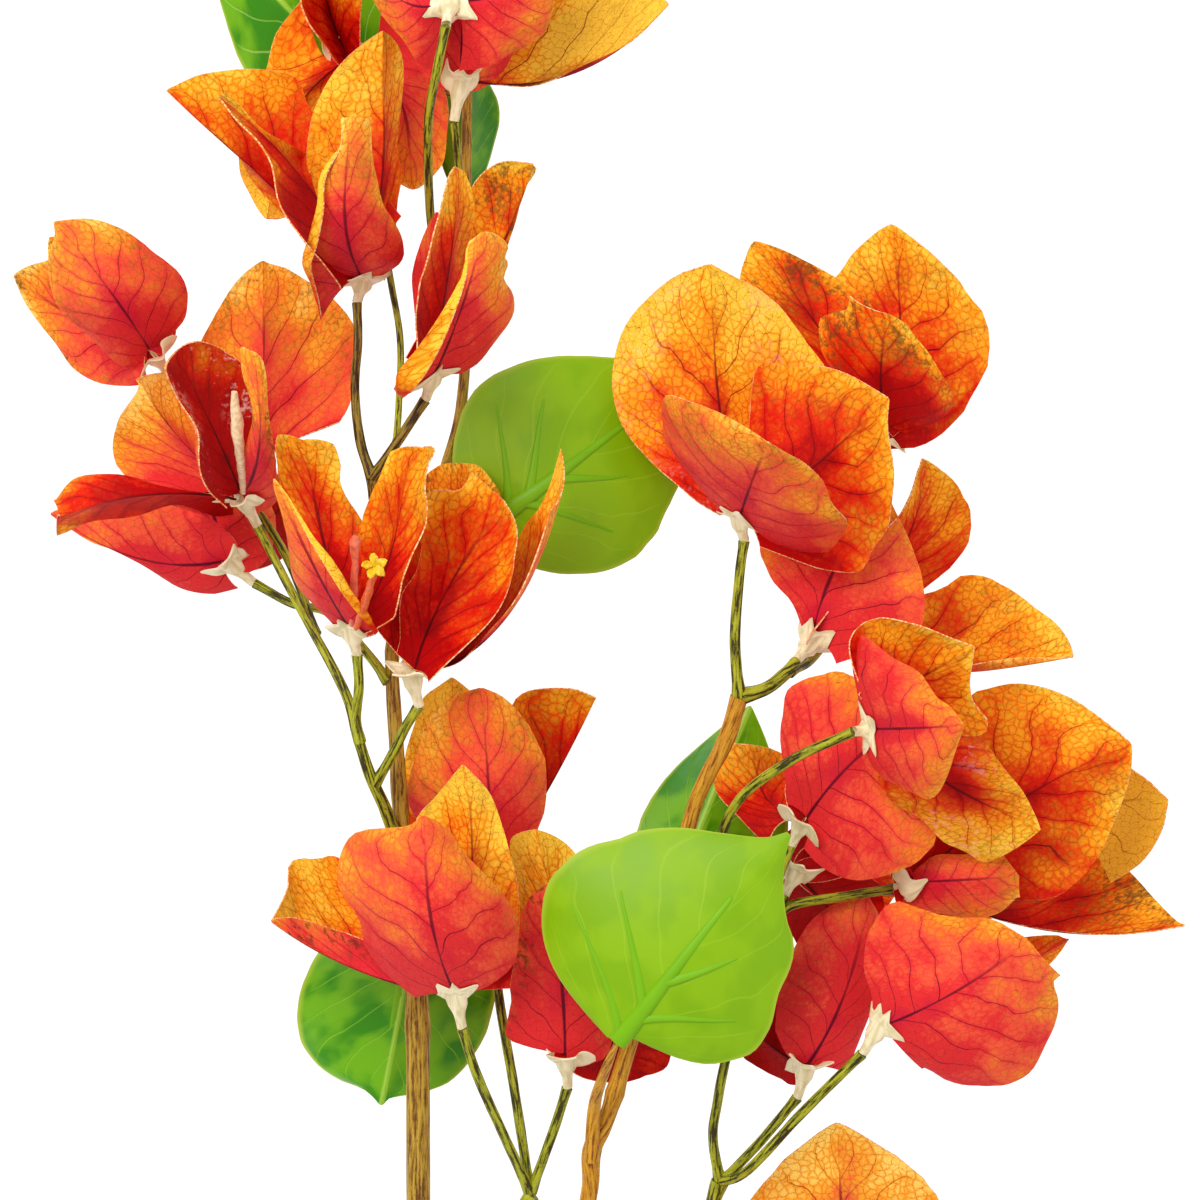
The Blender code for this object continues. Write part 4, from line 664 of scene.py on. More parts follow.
def clothFinish(name, face):
    inks = palettes[face]
    f = Finish(name, inks["coral"])
    across, along, seed = f.axes(f.attribute("flat", 1))
    side, up, glue = f.axes(f.attribute("spot", 1))
    wander, bend, stain = f.axes(f.attribute("drift", 1))
    pink, gold, brown = f.axes(f.attribute("tone", 1))
    edge = abs(side)
    grain = f.cloud(f.vector(across + seed, along), clothForm["grainScale"], 3.0, 0.66)
    # veins: a midrib, arcs that leave it on both sides, and two nets between them
    sway = bend - 0.5
    rib = (abs(across) + sway * 0.5).ramp(0.45, 0.08) * up.ramp(1.0, 0.6)
    near = abs(across).ramp(5.5, 0.0) * up.ramp(0.95, 0.2)
    left = side.math("GREATER_THAN", 0.0) * 0.45
    phase = up * clothForm["veins"] - clothForm["veinSlant"] * edge ** 0.8 + sway * 0.8 + left
    away = abs(phase.math("FRACT") - 0.5)
    arc = away.ramp(0.028, 0.004) * edge.ramp(1.1, 0.5)
    bent = f.vector(across + sway * 3.0 + seed, along + (grain - 0.5) * 1.6)
    net = f.cells(bent, clothForm["netScale"])
    fine = f.cells(f.vector(across + seed, along + sway), clothForm["laceScale"])
    # how far the print has turned from red to gold
    zone = up * (0.5 + 0.55 * gold - 0.15 * pink) + edge ** 1.6 * (0.06 + up * (0.16 + 0.34 * gold))
    zone = zone + (wander - 0.5) * 0.6 + 0.12 * gold - 0.3 * pink + 0.02
    zone = zone + (grain - 0.5) * 0.5 - away.ramp(0.22, 0.0) * 0.12 - near * 0.22
    ripe = zone.ramp(0.35, 0.85)
    zone = zone + (net.ramp(0.0, 0.34) - 0.4) * (0.04 + 0.2 * ripe)
    color = f.mix(zone.ramp(0.0, 0.3), inks["red"], inks["coral"])
    color = f.mix(zone.ramp(0.26, 0.5), color, inks["orange"])
    color = f.mix(zone.ramp(0.44, 0.78), color, inks["gold"])
    color = f.mix(zone.ramp(0.76, 1.2) * 0.95, color, inks["straw"])
    color = f.mix(near * stain.ramp(0.3, 0.7) * 0.7, color, inks["heart"])
    web = net.ramp(0.04, 0.005) * (grain.ramp(0.3, 0.62, 0.1, 0.6) + 0.2 * ripe)
    lace = fine.ramp(0.08, 0.01) * (0.16 + 0.16 * ripe)
    veinTone = f.mix(ripe, inks["vein"], palette["veinBrown"])
    color = f.mix((web + lace).clamp(), color, veinTone)
    root = f.mix(up.ramp(0.2, 1.1), inks["root"], veinTone)
    color = f.mix((rib + arc).clamp() * up.ramp(1.0, 0.1, 0.7, 1.0), color, root)
    # brown smudges towards the tip
    smudge = (stain * 0.3 + grain * 0.7).ramp(0.46, 0.66) * (up * 0.8 + edge * 0.5).ramp(0.3, 0.95)
    color = f.mix((smudge * brown * 1.1).clamp() * 0.72, color, palette["umber"])
    # a whitish haze where glue lies: partly the glue's own colour, partly its sheen painted in as a
    # highlight
    glueAndSheenShare = (stain * 0.4 + grain * 0.6).ramp(0.46, 0.34) * edge.ramp(0.2, 0.8) * glue
    color = f.mix(glueAndSheenShare, color, palette["glue"])
    # the print also glows faintly in its own colour: a painted glow standing in for light passing through
    # the thin cloth, not a lamp
    f.set(Base_Color=color, Roughness=grain.ramp(0.2, 0.8, 0.55, 0.75), Specular_IOR_Level=0.08,
          Emission_Color=color, Emission_Strength=clothForm["glow"])
    f.relief(grain * 0.8 - arc * 0.5 - rib * 0.9, clothForm["relief"], 0.5 * mm)
    return f.material


def edgeFinish():
    f = Finish("frayed edge", palette["frayed"])
    across, along, seed = f.axes(f.attribute("flat", 1))
    thread = f.cloud(f.vector(across + seed, along), 1.6, 2.0)
    color = f.mix(thread.ramp(0.4, 0.6), palette["frayed"], palettes["outside"]["orange"])
    f.set(Base_Color=color, Roughness=0.8)
    return f.material


def cupFinish():
    f = Finish("cream cup plastic", linear(222, 206, 160))
    across, along, seed = f.axes(f.attribute("flat", 1))
    cloudy = f.cloud(f.vector(across + seed, along), 0.5, 2.0)
    color = f.mix(cloudy.ramp(0.35, 0.7), linear(232, 216, 178), linear(206, 190, 142))
    # the cream glows faintly in its own colour: a painted glow standing in for light passing through the
    # thin cup
    f.set(Base_Color=color, Roughness=cloudy.ramp(0.3, 0.7, 0.3, 0.45), Emission_Color=color,
          Emission_Strength=0.12)
    f.relief(cloudy, 0.25, 0.3 * mm)
    return f.material


stemFinishes = {
    "olive": {"ground": (126, 128, 16), "light": (176, 176, 40), "dark": (40, 22, 8), "cover": 0.5},
    "dark": {"ground": (104, 74, 22), "light": (148, 124, 40), "dark": (44, 24, 8), "cover": 0.52},
    "brown": {"ground": (156, 112, 24), "light": (186, 152, 52), "dark": (92, 54, 14), "cover": 0.48},
    "amber": {"ground": (184, 122, 20), "light": (216, 158, 44), "dark": (120, 62, 12), "cover": 0.46},
}


def stemFinish(name):
    given = stemFinishes[name]
    f = Finish(name + " stem", linear(*given["ground"]))
    across, along, seed = f.axes(f.attribute("flat", 1))
    streak = f.cloud(f.vector(across * 1.4 + seed, along * 0.12), 0.9, 4.0, 0.66)
    fleck = f.cloud(f.vector(across * 1.3 + seed, along * 0.4), 1.5, 3.0, 0.7)
    color = f.mix(streak.ramp(0.42, 0.64), linear(*given["ground"]), linear(*given["light"]))
    cover = given["cover"]
    dark = (streak * 0.75 + fleck * 0.25).ramp(cover, cover - 0.07)
    color = f.mix(dark * 0.9, color, linear(*given["dark"]))
    color = f.mix(fleck.ramp(0.63, 0.72) * 0.8, color, linear(*given["dark"]))
    f.set(Base_Color=color, Roughness=fleck.ramp(0.3, 0.7, 0.45, 0.65), Specular_IOR_Level=0.25)
    f.relief(streak * 0.7 + fleck * 0.3, 0.7, 0.5 * mm)
    return f.material


def leafFinish(name, back):
    f = Finish(name, linear(128, 178, 10) if back else linear(52, 138, 24))
    across = f.axes(f.attribute("flat", 1))[0]
    side, up = f.axes(f.attribute("spot", 1))[:2]
    wander, bend = f.axes(f.attribute("drift", 1))[:2]
    edge = abs(side)
    phase = up * 5.0 - 2.6 * edge ** 0.85 + (bend - 0.5) * 0.35
    arc = abs(phase.math("FRACT") - 0.5).ramp(0.05, 0.0) * edge.ramp(1.0, 0.75)
    if back:
        color = f.mix(wander.ramp(0.3, 0.7), linear(122, 168, 0), linear(132, 176, 2))
        color = f.mix(arc * 0.3, color, linear(158, 196, 40))
        color = f.mix(edge.ramp(0.94, 1.0) * 0.6, color, linear(176, 190, 60))
        f.set(Base_Color=color, Roughness=wander.ramp(0.3, 0.7, 0.38, 0.46), Specular_IOR_Level=0.2)
        f.relief(wander * 0.3 + arc * 0.3, 0.2, 0.5 * mm)
    else:
        middle = abs(across).ramp(0.9, 0.2)
        color = f.mix(wander.ramp(0.3, 0.7), linear(52, 132, 4), linear(104, 168, 4))
        color = f.mix(arc * 0.5, color, linear(140, 196, 40))
        color = f.mix(middle, color, linear(150, 196, 60))
        color = f.mix(edge.ramp(0.93, 1.0), color, linear(160, 186, 50))
        f.set(Base_Color=color, Roughness=wander.ramp(0.3, 0.7, 0.26, 0.4), Specular_IOR_Level=0.25)
        f.relief(wander * 0.3 - arc * 0.6 - middle, 0.4, 0.6 * mm)
    return f.material


def plainFinish(name, color, rough):
    f = Finish(name, color)
    across, along, seed = f.axes(f.attribute("flat", 1))
    cloudy = f.cloud(f.vector(across + seed, along), 0.8, 2.0)
    shade = tuple(0.72 * value for value in color[:3]) + (1.0,)
    f.set(Base_Color=f.mix(cloudy.ramp(0.35, 0.7), color, shade), Roughness=rough)
    return f.material


def ribFinish():
    f = Finish("moulded rib plastic", linear(112, 172, 4))
    across, along, seed = f.axes(f.attribute("flat", 1))
    worn = f.cloud(f.vector(across + seed, along), 0.12, 2.0)
    color = f.mix(worn, linear(106, 164, 4), linear(122, 180, 10))
    f.set(Base_Color=color, Roughness=0.4, Specular_IOR_Level=0.2)
    return f.material


outerCloth = clothFinish("printed cloth outside", "outside")
innerCloth = clothFinish("printed cloth inside with painted shade", "inside")
frayedEdge = edgeFinish()
cupPlastic = cupFinish()
stemPlastics = {name: stemFinish(name) for name in stemFinishes}
leafBack = leafFinish("leaf plastic back", True)
leafFront = leafFinish("leaf plastic front", False)
ribPlastic = ribFinish()
flowerCream = plainFinish("flower cream", linear(246, 206, 160), 0.35)
flowerPink = plainFinish("flower pink", linear(240, 90, 20), 0.4)
flowerPale = plainFinish("flower pale", linear(240, 116, 84), 0.4)
flowerYellow = plainFinish("flower yellow", linear(248, 200, 24), 0.4)
print("finishes made")

# Blades: a bowed midrib with an arched half on each side.

bractForm = {
    "rows": 30,
    "halfColumns": 10,
    "start": 0.04,
    "rise": 0.42,
    "point": 0.85,
    "lobe": 0.26,
    "root": 1.7,
    "thick": 0.3,
    "ruffle": 0.9,
    "waves": 1.7,
    "waver": 0.07,
    "curlFrom": 0.66,
    "curl": 8,
    "flap": 0.4,
    "foldShare": 0.4,
}
leafForm = {
    "rows": 40,
    "halfColumns": 18,
    "start": 0.02,
    "rise": 0.42,
    "point": 0.95,
    "lobe": 0.3,
    "thick": 0.7,
    "ruffle": 0.5,
    "waves": 1.7,
    "waver": 0.03,
    "curlFrom": 0.9,
    "curl": 10,
}


# how far along a blade each share in an edge list lies
edgeKnots = (0.0, 0.15, 0.3, 0.5, 0.7, 0.85, 1.0)


def softly(x, knots, values):
    # smooth curve through values at knots
    k = max(i for i in range(len(knots) - 1) if knots[i] <= x or i == 0)
    slopes = []
    for i in (k, k + 1):
        low, high = max(i - 1, 0), min(i + 1, len(knots) - 1)
        slopes.append((values[high] - values[low]) / (knots[high] - knots[low]))
    run = knots[k + 1] - knots[k]
    t = (x - knots[k]) / run
    return ((2 * t ** 3 - 3 * t * t + 1) * values[k] + (t ** 3 - 2 * t * t + t) * run * slopes[0]
            + (3 * t * t - 2 * t ** 3) * values[k + 1] + (t ** 3 - t * t) * run * slopes[1])


class Blade:
    # the surface of one bract or leaf
    def __init__(self, given, base, form, seed):
        self.given, self.form, self.seed = given, form, seed
        self.base = base
        self.tip, mid, left, right = [place(given[k]) for k in ("tip", "middle", "left", "right")]
        self.handle = 2 * mid - 0.5 * (base + self.tip)
        self.way = (self.tip - base).normalized()
        self.length = (self.tip - base).length
        middle = self.rib(given["widest"])
        self.arms = {-1: left - middle, 1: right - middle}
        face = (self.arms[1] - self.arms[-1]).cross(self.way).normalized()
        self.bows = {}
        for side, arm in self.arms.items():
            bow = face - arm * face.dot(arm) / arm.length_squared
            self.bows[side] = -(bow - self.way * bow.dot(self.way)).normalized()
        self.back = -face
        self.lines = {}
        for side, key in ((-1, "leftLine"), (1, "rightLine")):
            if key in given:
                self.lines[side] = self.shares(side, given[key])
        self.curlFrom = given.get("curlFrom", form["curlFrom"])
        usual = form["curl"] * noise.noise(Vector((seed * 2.7, 0.5, 0.2))) * 2
        self.curl = math.radians(given.get("curl", usual))

    def rib(self, u):
        return self.base * (1 - u) ** 2 + 2 * self.handle * u * (1 - u) + self.tip * u * u

    def shares(self, side, edge):
        # turns places on an edge into shares along the rib and of the arm's length
        arm, run = self.arms[side], self.tip - self.base
        whole = run.x * arm.y - run.y * arm.x
        found = []
        for spot in edge:
            u, share = 0.5, 0.5
            for again in range(5):
                height = (self.rib(u).z + share * arm.z) / mm + layout["shiftUp"]
                height = min(max(height, 0.0), 2 * layout["eyeHeight"])
                away = place((*spot, height)) - self.rib(u)
                u = min(max(u + (away.x * arm.y - away.y * arm.x) / whole, -0.5), 1.05)
                share = min(max((run.x * away.y - run.y * away.x) / whole, 0.0), 1.2)
            found.append((u, share))
        # from the furthest place behind the base, and only onwards
        found = found[found.index(min(found)):]
        onward = [found[0]]
        for item in found[1:]:
            if item[0] > onward[-1][0]:
                onward.append(item)
        if onward[-1][1] < 0.5 and not self.given.get("cut"):
            onward = [(u, share) for u, share in onward if u < 0.985] + [(1.0, 0.015)]
        return max(-onward[0][0], 0.0), [u for u, share in onward], [share for u, share in onward]

    def outline(self, u, side):
        form, widest = self.form, self.given["widest"]
        if side in self.lines:
            lobe, along, shares = self.lines[side]
            at = min(max(u - lobe * (1 - u) ** 3, along[0]), along[-1])
            return max(softly(at, along, shares), 0.012)
        shape = self.given.get("leftEdge" if side < 0 else "rightEdge")
        if shape:
            ends = min(1.0, (u + 0.0005) / 0.06, (1.0005 - u) / 0.05)
            return max(softly(u, edgeKnots, shape), 0.015) * ends ** 0.45
        if u < widest:
            return form["start"] + (1 - form["start"]) * math.sin(u / widest * math.pi / 2) ** form["rise"]
        t = (u - widest) / (1 - widest)
        point = self.given.get("point", form["point"])
        blunt = self.given.get("blunt", 0.015)
        return max(math.cos(t * math.pi / 2) ** point * (1 - 0.1 * t), 0.0) * (1 - blunt) + blunt

    def spot(self, u, side, v):
        given, form, seed = self.given, self.form, self.seed
        arm, bow, way = self.arms[side], self.bows[side], self.way
        heart = self.rib(u)
        if u > self.curlFrom and abs(self.curl) > 0.02:
            start = self.rib(self.curlFrom)
            run = (self.rib(self.curlFrom + 0.01) - start).normalized()
            left = (self.tip - start).length
            turned = self.curl * (u - self.curlFrom) / (1 - self.curlFrom)
            out = self.back - run * self.back.dot(run)
            out.normalize()
            heart = start + left / self.curl * (run * math.sin(turned) + out * (1 - math.cos(turned)))
            bow = bow * math.cos(turned) - run * math.sin(turned)
        turn = math.radians(given["bowLeft" if side < 0 else "bowRight"])
        span = arm.length
        wave = noise.noise(Vector((u * 6.0, side * 3.0, seed)))
        wave += 0.5 * noise.noise(Vector((u * 15.0, side, seed)))
        wide = self.outline(u, side) * (1 + form["waver"] * wave * (0.35 if side in self.lines else 1.0))
        beyond, roll = 0.0, math.radians(given.get("rollLeft" if side < 0 else "rollRight", 0.0))
        if roll:
            # the outer part folds back on itself, and the fold lies on the outline
            flap = given.get("flap", form["flap"]) * math.sin(math.pi * min(u * 0.94 + 0.03, 1.0)) ** 0.6
            turning = flap * form["foldShare"]
            wide /= 1 - flap + turning / abs(roll)
            beyond, v = max(v - 1 + flap, 0.0), min(v, 1 - flap)
        out = (math.sin(turn * (v - 0.5)) + math.sin(turn / 2)) / (2 * math.sin(turn / 2))
        lift = (math.cos(turn * (v - 0.5)) - math.cos(turn / 2)) / (2 * math.sin(turn / 2))
        lobe = given.get("lobeLeft" if side < 0 else "lobeRight", form["lobe"]) * span
        if side in self.lines:
            lobe = self.lines[side][0] * self.length
        lobe *= v * v * (1 - u) ** 3
        swell = math.sin(2 * math.pi * (u * form["waves"] + seed * 0.37 + side * 0.2))
        ruffle = form["ruffle"] * given.get("ruffle", 1.0) * mm * v ** 2.5 * swell
        ruffle *= math.sin(math.pi * min(u + 0.08, 1.0)) ** 0.6
        point = heart + wide * (arm * out + bow * span * lift) - way * lobe - bow * ruffle
        if beyond:
            turned = roll * min(beyond / turning, 1.0)
            ahead = arm.normalized() * math.cos(turn * (v - 0.5)) - bow * math.sin(turn * (v - 0.5))
            over = bow * math.cos(turn * (v - 0.5)) + arm.normalized() * math.sin(turn * (v - 0.5))
            radius = turning * span * wide / roll
            point += radius * (ahead * math.sin(turned) + over * (1 - math.cos(turned)))
            after = max(beyond - turning, 0.0) * span * wide
            point += after * (ahead * math.cos(turned) + over * math.sin(turned))
        return point

    def grid(self):
        rows, half = self.form["rows"], self.form["halfColumns"]
        found = []
        for i in range(rows + 1):
            s = i / rows
            u = 0.4 * s + 0.6 * (1 - math.cos(math.pi * s)) / 2
            row = []
            for j in range(-half, half + 1):
                side = 1 if j > 0 else -1
                v = 1 - (1 - abs(j) / half) ** 1.25
                across = side * self.outline(u, side) * self.arms[side].length * v / mm
                row.append((self.spot(u, side, v), u, side * v, across, u * self.length / mm))
            found.append(row)
        return found


def drifts(across, along, seed):
    # three slow wanders, each about a half
    found = []
    for k, (size, octaves) in enumerate(((0.11, 4), (0.12, 1.6), (0.1, 4))):
        at = Vector((across * size, along * size, seed * 1.7 + k * 9.0))
        found.append(0.5 + 0.55 * noise.fractal(at, 0.9, 2.1, octaves))
    return found


def blade(sheets, surface, shades, slots):
    # shades are the tones inside and outside, slots the materials inside, outside and at the cut edge
    grid = surface.grid()
    seed = surface.seed
    rows, count = len(grid), len(grid[0])
    half = surface.form["thick"] * mm / 2
    faces = []
    for side, tone in zip((1, -1), shades):
        corners = []
        for i in range(rows):
            for j in range(count):
                point, u, v, across, along = grid[i][j]
                down = grid[min(i + 1, rows - 1)][j][0] - grid[max(i - 1, 0)][j][0]
                over = grid[i][min(j + 1, count - 1)][0] - grid[i][max(j - 1, 0)][0]
                normal = over.cross(down).normalized()
                corners.append(sheets.corner(point + normal * side * half, tone=tone,
                                             flat=(across, along, seed * 7.3),
                                             spot=(v, u, surface.given.get("glue", 0.0)),
                                             drift=drifts(across, along, seed)))
        faces.append(corners)
    for i in range(rows - 1):
        for j in range(count - 1):
            a = i * count + j
            b, c, d = a + 1, a + count + 1, a + count
            sheets.face([faces[0][k] for k in (a, b, c, d)], slots[0])
            sheets.face([faces[1][k] for k in (a, d, c, b)], slots[1])
    rim = list(range(count)) + [i * count + count - 1 for i in range(1, rows)]
    rim += [(rows - 1) * count + j for j in range(count - 2, -1, -1)]
    rim += [i * count for i in range(rows - 2, 0, -1)]
    for k, a in enumerate(rim):
        b = rim[(k + 1) % len(rim)]
        sheets.face((faces[0][b], faces[0][a], faces[1][a], faces[1][b]), slots[2])


# Stems and twigs.

stemForm = {
    "sides": 16,
    "steps": 8,
    "rough": 0.07,
    "grainAcross": 1.3,
    "grainAlong": 0.22,
    "collar": 0.3,
    "collarReach": 2.2,
    "plug": 0.16,
    "plugReach": 1.4,
    "knotReach": 1.1,
}


def stemLine(name, steps):
    return rounded([place(p) for p in stems[name]["course"]], steps)


def swell(away, reach):
    return math.exp(-(away / reach) ** 2)


def makeStem(name, seed):
    given = stems[name]
    line = stemLine(name, stemForm["steps"])
    radii = [value * layout["step"] * mm for value in spread(given["half"], len(line))]
    whole = sum((b - a).length for a, b in zip(line, line[1:]))

    def shape(i, turn, along):
        grain = stemForm["grainAcross"]
        at = (math.cos(turn) * grain, math.sin(turn) * grain + seed, along / mm * stemForm["grainAlong"])
        size = 1 + stemForm["rough"] * noise.noise(Vector(at))
        if name != "main_stem":
            size += stemForm["collar"] * swell(along, stemForm["collarReach"] * radii[i])
        size += stemForm["plug"] * swell(whole - along, stemForm["plugReach"] * radii[i])
        for where, tall in given["knots"]:
            size += tall * swell((along / whole - where) * whole, stemForm["knotReach"] * radii[i])
        return size

    sheets = Sheets(["flat"])
    skin(sheets, line, radii, stemForm["sides"], seed * 5.1, shape)
    piece = sheets.make("looks_" + name, [stemPlastics[given["finish"]]], 60)
    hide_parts(name)
    "brown_stem" if name in ("main_stem", "middle_stem") else "green_twig"
    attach(piece, "root")


for index, name in enumerate(stems):
    makeStem(name, index + 1)
print("stems made")

# Blooms.

cupForm = {
    "neck": 1.1,
    "waist": 1.25,
    "rim": 2.5,
    "notch": 4.1,
    "point": 7.2,
    "points": 5,
    "starTurn": 0.35,
    "clear": 0.35,
    "rings": 16,
    "sides": 60,
    "tubeShare": 0.5,
    "thick": 0.4,
    "root": 0.6,
    "ragged": 0.2,
    "raggedPace": 1.7,
    "flute": 0.06,
    "flutes": 3,
    "usualLean": 0.95,
    "smoothing": 6,
    "hugReaches": (3.2, 5.0),
    "hugTries": 36,
    "hugWidest": 2.35,
    "hugStep": 0.06,
    "hugNear": 0.6,
}


def starReach(turn):
    # straight-sided star
    half = math.pi / cupForm["points"]
    away = abs((turn + half) % (2 * half) - half)
    tip = Vector((cupForm["point"], 0.0))
    notch = Vector((math.cos(half), math.sin(half))) * cupForm["notch"]
    look = Vector((math.cos(away), math.sin(away)))
    run = notch - tip
    return (tip.x * run.y - tip.y * run.x) / (look.x * run.y - look.y * run.x)


def hugging(tree, heart, way, direction, usual):
    # how far from its own way the cup has to open to lie against the backs of the bracts
    found = []
    for reach in cupForm["hugReaches"]:
        lean = usual
        for k in range(cupForm["hugTries"]):
            angle = cupForm["hugWidest"] - k * cupForm["hugStep"]
            spot = heart + (way * math.cos(angle) + direction * math.sin(angle)) * reach * mm
            if tree.find_nearest(spot, cupForm["hugNear"] * mm)[0] is not None:
                lean = angle
                break
        found.append(lean)
    return found


def makeCup(name, given, seed, tree):
    twig = stemLine(given["on"], 2)
    run = (twig[-1] - twig[-2]).normalized()
    neck = twig[-1] + run * cupForm["clear"] * mm
    heart = place(given["heart"])
    way = (heart - neck).normalized()
    first = place(given["bracts"][0]["tip"]) - heart
    side = first - way * first.dot(way)
    side = side.normalized() if side.length > 2 * mm else way.cross(Vector((1, 0, 0))).normalized()
    other = way.cross(side)
    stem = (heart - neck).length
    rings, sides, tube = cupForm["rings"], cupForm["sides"], cupForm["tubeShare"]
    turns = [2 * math.pi * k / sides for k in range(sides)]
    ways = [math.cos(turn) * side + math.sin(turn) * other for turn in turns]
    leans = [hugging(tree, heart, way, direction, cupForm["usualLean"]) for direction in ways]
    for k in range(cupForm["smoothing"]):
        sets = [(leans[i - 1], leans[i], leans[(i + 1) % sides]) for i in range(sides)]
        leans = [[(a[n] + b[n] + c[n]) / 3 for n in (0, 1)] for a, b, c in sets]
    sheets = Sheets(["flat"])
    shells = []
    for inner in (False, True):
        corners = []
        for i in range(rings + 1):
            s = i / rings
            for k, turn in enumerate(turns):
                direction = ways[k]
                torn = noise.noise(Vector((turn * cupForm["raggedPace"], seed, 0.0)))
                reach = starReach(turn + cupForm["starTurn"]) * (1 + cupForm["ragged"] * torn)
                t = max(s - tube, 0.0) / (1 - tube)
                lean = leans[k][0] + (leans[k][1] - leans[k][0]) * t
                if s < tube:
                    t = s / tube
                    wide = cupForm["neck"] + (cupForm["waist"] - cupForm["neck"]) * t
                    flare = eased(0.3, 1.05, t) ** 1.3
                    wide += (cupForm["rim"] * math.sin(lean) ** 0.5 - cupForm["waist"]) * flare
                    wide *= 1 + cupForm["flute"] * math.sin(cupForm["flutes"] * turn + seed)
                    point = neck + way * (stem - cupForm["root"] * mm) * t + direction * wide * mm
                else:
                    low = cupForm["rim"]
                    out = way * math.cos(lean) + direction * math.sin(lean)
                    below = way * cupForm["root"] * mm * (1 - t)
                    point = heart - below + out * (low + (reach - low) * t) * mm
                if inner:
                    sink = direction * cupForm["thick"] * mm * 0.6
                    point = point - sink + way * cupForm["thick"] * mm * 0.8
                corners.append(sheets.corner(point, flat=(turn * 2.5, s * 9.0, seed * 3.3)))
        shells.append(corners)
    outer, lining = shells
    for i in range(rings):
        for k in range(sides):
            a, b = i * sides + k, i * sides + (k + 1) % sides
            sheets.face((outer[a], outer[b], outer[b + sides], outer[a + sides]))
            sheets.face((lining[a], lining[a + sides], lining[b + sides], lining[b]))
    for row, turned in ((0, False), (rings, True)):
        for k in range(sides):
            a, b = row * sides + k, row * sides + (k + 1) % sides
            quad = (outer[a], lining[a], lining[b], outer[b])
            sheets.face(tuple(reversed(quad)) if turned else quad)
    piece = sheets.make("cup_" + name, [cupPlastic], 60)
    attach(piece, "root")


def makeBloom(name, seed):
    given = blooms[name]
    heart = place(given["heart"])
    sheets = Sheets(["flat", "spot", "drift", "tone"])
    for k, bract in enumerate(given["bracts"]):
        base = heart + (place(bract["tip"]) - heart).normalized() * bractForm["root"] * mm
        surface = Blade(bract, base, bractForm, seed * 5 + k + 1)
        shades = (tones[bract.get("inside", bract["tone"])], tones[bract["tone"]])
        slots = (1, 0, 2) if bract.get("swapped") else (0, 1, 2)
        blade(sheets, surface, shades, slots)
    piece = sheets.make("looks_bloom_" + name, [innerCloth, outerCloth, frayedEdge])
    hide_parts("bloom_" + name)
    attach(piece, "root")
    tree = BVHTree.FromPolygons(sheets.corners, sheets.faces)
    makeCup(name, given, seed, tree)


for index, name in enumerate(blooms):
    makeBloom(name, index + 1)
print("blooms made")

# The small flowers inside two of the blooms.

flowerForm = {
    "bud": [(243, 492, 44), (242, 470, 56), (239, 445, 66), (237, 425, 70), (234, 392, 74)],
    "budHalf": [3, 4.5, 5, 6.5, 3],
    "club": [(352, 625, 60), (354, 590, 66), (355, 560, 70), (355, 543, 72), (355, 537, 73)],
    "clubHalf": [3, 4, 3.2, 6, 3],
    "tube": [(356, 628, 62), (366, 600, 72), (372, 580, 80), (375, 566, 84)],
    "tubeHalf": [3, 4.5, 3.5, 5],
    "lobeLong": 2.7,
    "lobeWide": 0.62,
    "lobes": 5,
    "lobeStart": 0.4,
    "lobeRise": 0.35,
    "lobeWave": 1.6,
    "lobeAside": 0.3,
    "lobeSteps": 8,
    "lobeSides": 12,
    "rodSides": 14,
    "rodSteps": 6,
    "fluting": 0.12,
}


def makeRod(name, course, half, finish, seed):
    line = rounded([place(p) for p in course], flowerForm["rodSteps"])
    radii = [value * layout["step"] * mm for value in spread(half, len(line))]
    rod = Sheets(["flat"])

    def shape(i, turn, along):
        return 1 + flowerForm["fluting"] * math.sin(turn * 3 + along / mm * 0.9)

    skin(rod, line, radii, flowerForm["rodSides"], seed, shape)
    piece = rod.make(name, [finish], 60)
    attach(piece, "root")


def makeFlower():
    # five crumpled yellow lobes at the end of the tube
    heart = place(flowerForm["tube"][-1])
    petals = Sheets(["flat"])
    steps = flowerForm["lobeSteps"]

    def crumple(i, turn, along):
        return 0.5 + 1.1 * abs(math.sin(turn + i * 0.25)) ** 3

    for k in range(flowerForm["lobes"]):
        turn = 2 * math.pi * k / flowerForm["lobes"] + flowerForm["lobeStart"]
        way = Vector((math.cos(turn), math.sin(turn), flowerForm["lobeRise"]))
        side = Vector((-math.sin(turn), math.cos(turn), 0.0))
        line, radii = [], []
        for i in range(steps + 1):
            t = i / steps
            lift = Vector((0, 0, flowerForm["lobeWave"] * math.sin(t * 3.0 + 1.7 * k) * t))
            away = way * t * flowerForm["lobeLong"] + lift + side * flowerForm["lobeAside"] * t * t
            line.append(heart + away * mm)
            radii.append(flowerForm["lobeWide"] * (0.45 + 0.75 * math.sin(math.pi * t ** 0.8)) * mm)
        skin(petals, line, radii, flowerForm["lobeSides"], k * 3.1, crumple)
    piece = petals.make("flower_lobes", [flowerYellow], 60)
    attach(piece, "root")


makeRod("bud_left_front", flowerForm["bud"], flowerForm["budHalf"], flowerCream, 2.0)
makeRod("bud_centre_left", flowerForm["club"], flowerForm["clubHalf"], flowerPale, 5.0)
makeRod("tube_centre_left", flowerForm["tube"], flowerForm["tubeHalf"], flowerPink, 8.0)
makeFlower()
print("flowers made")

# Leaves.

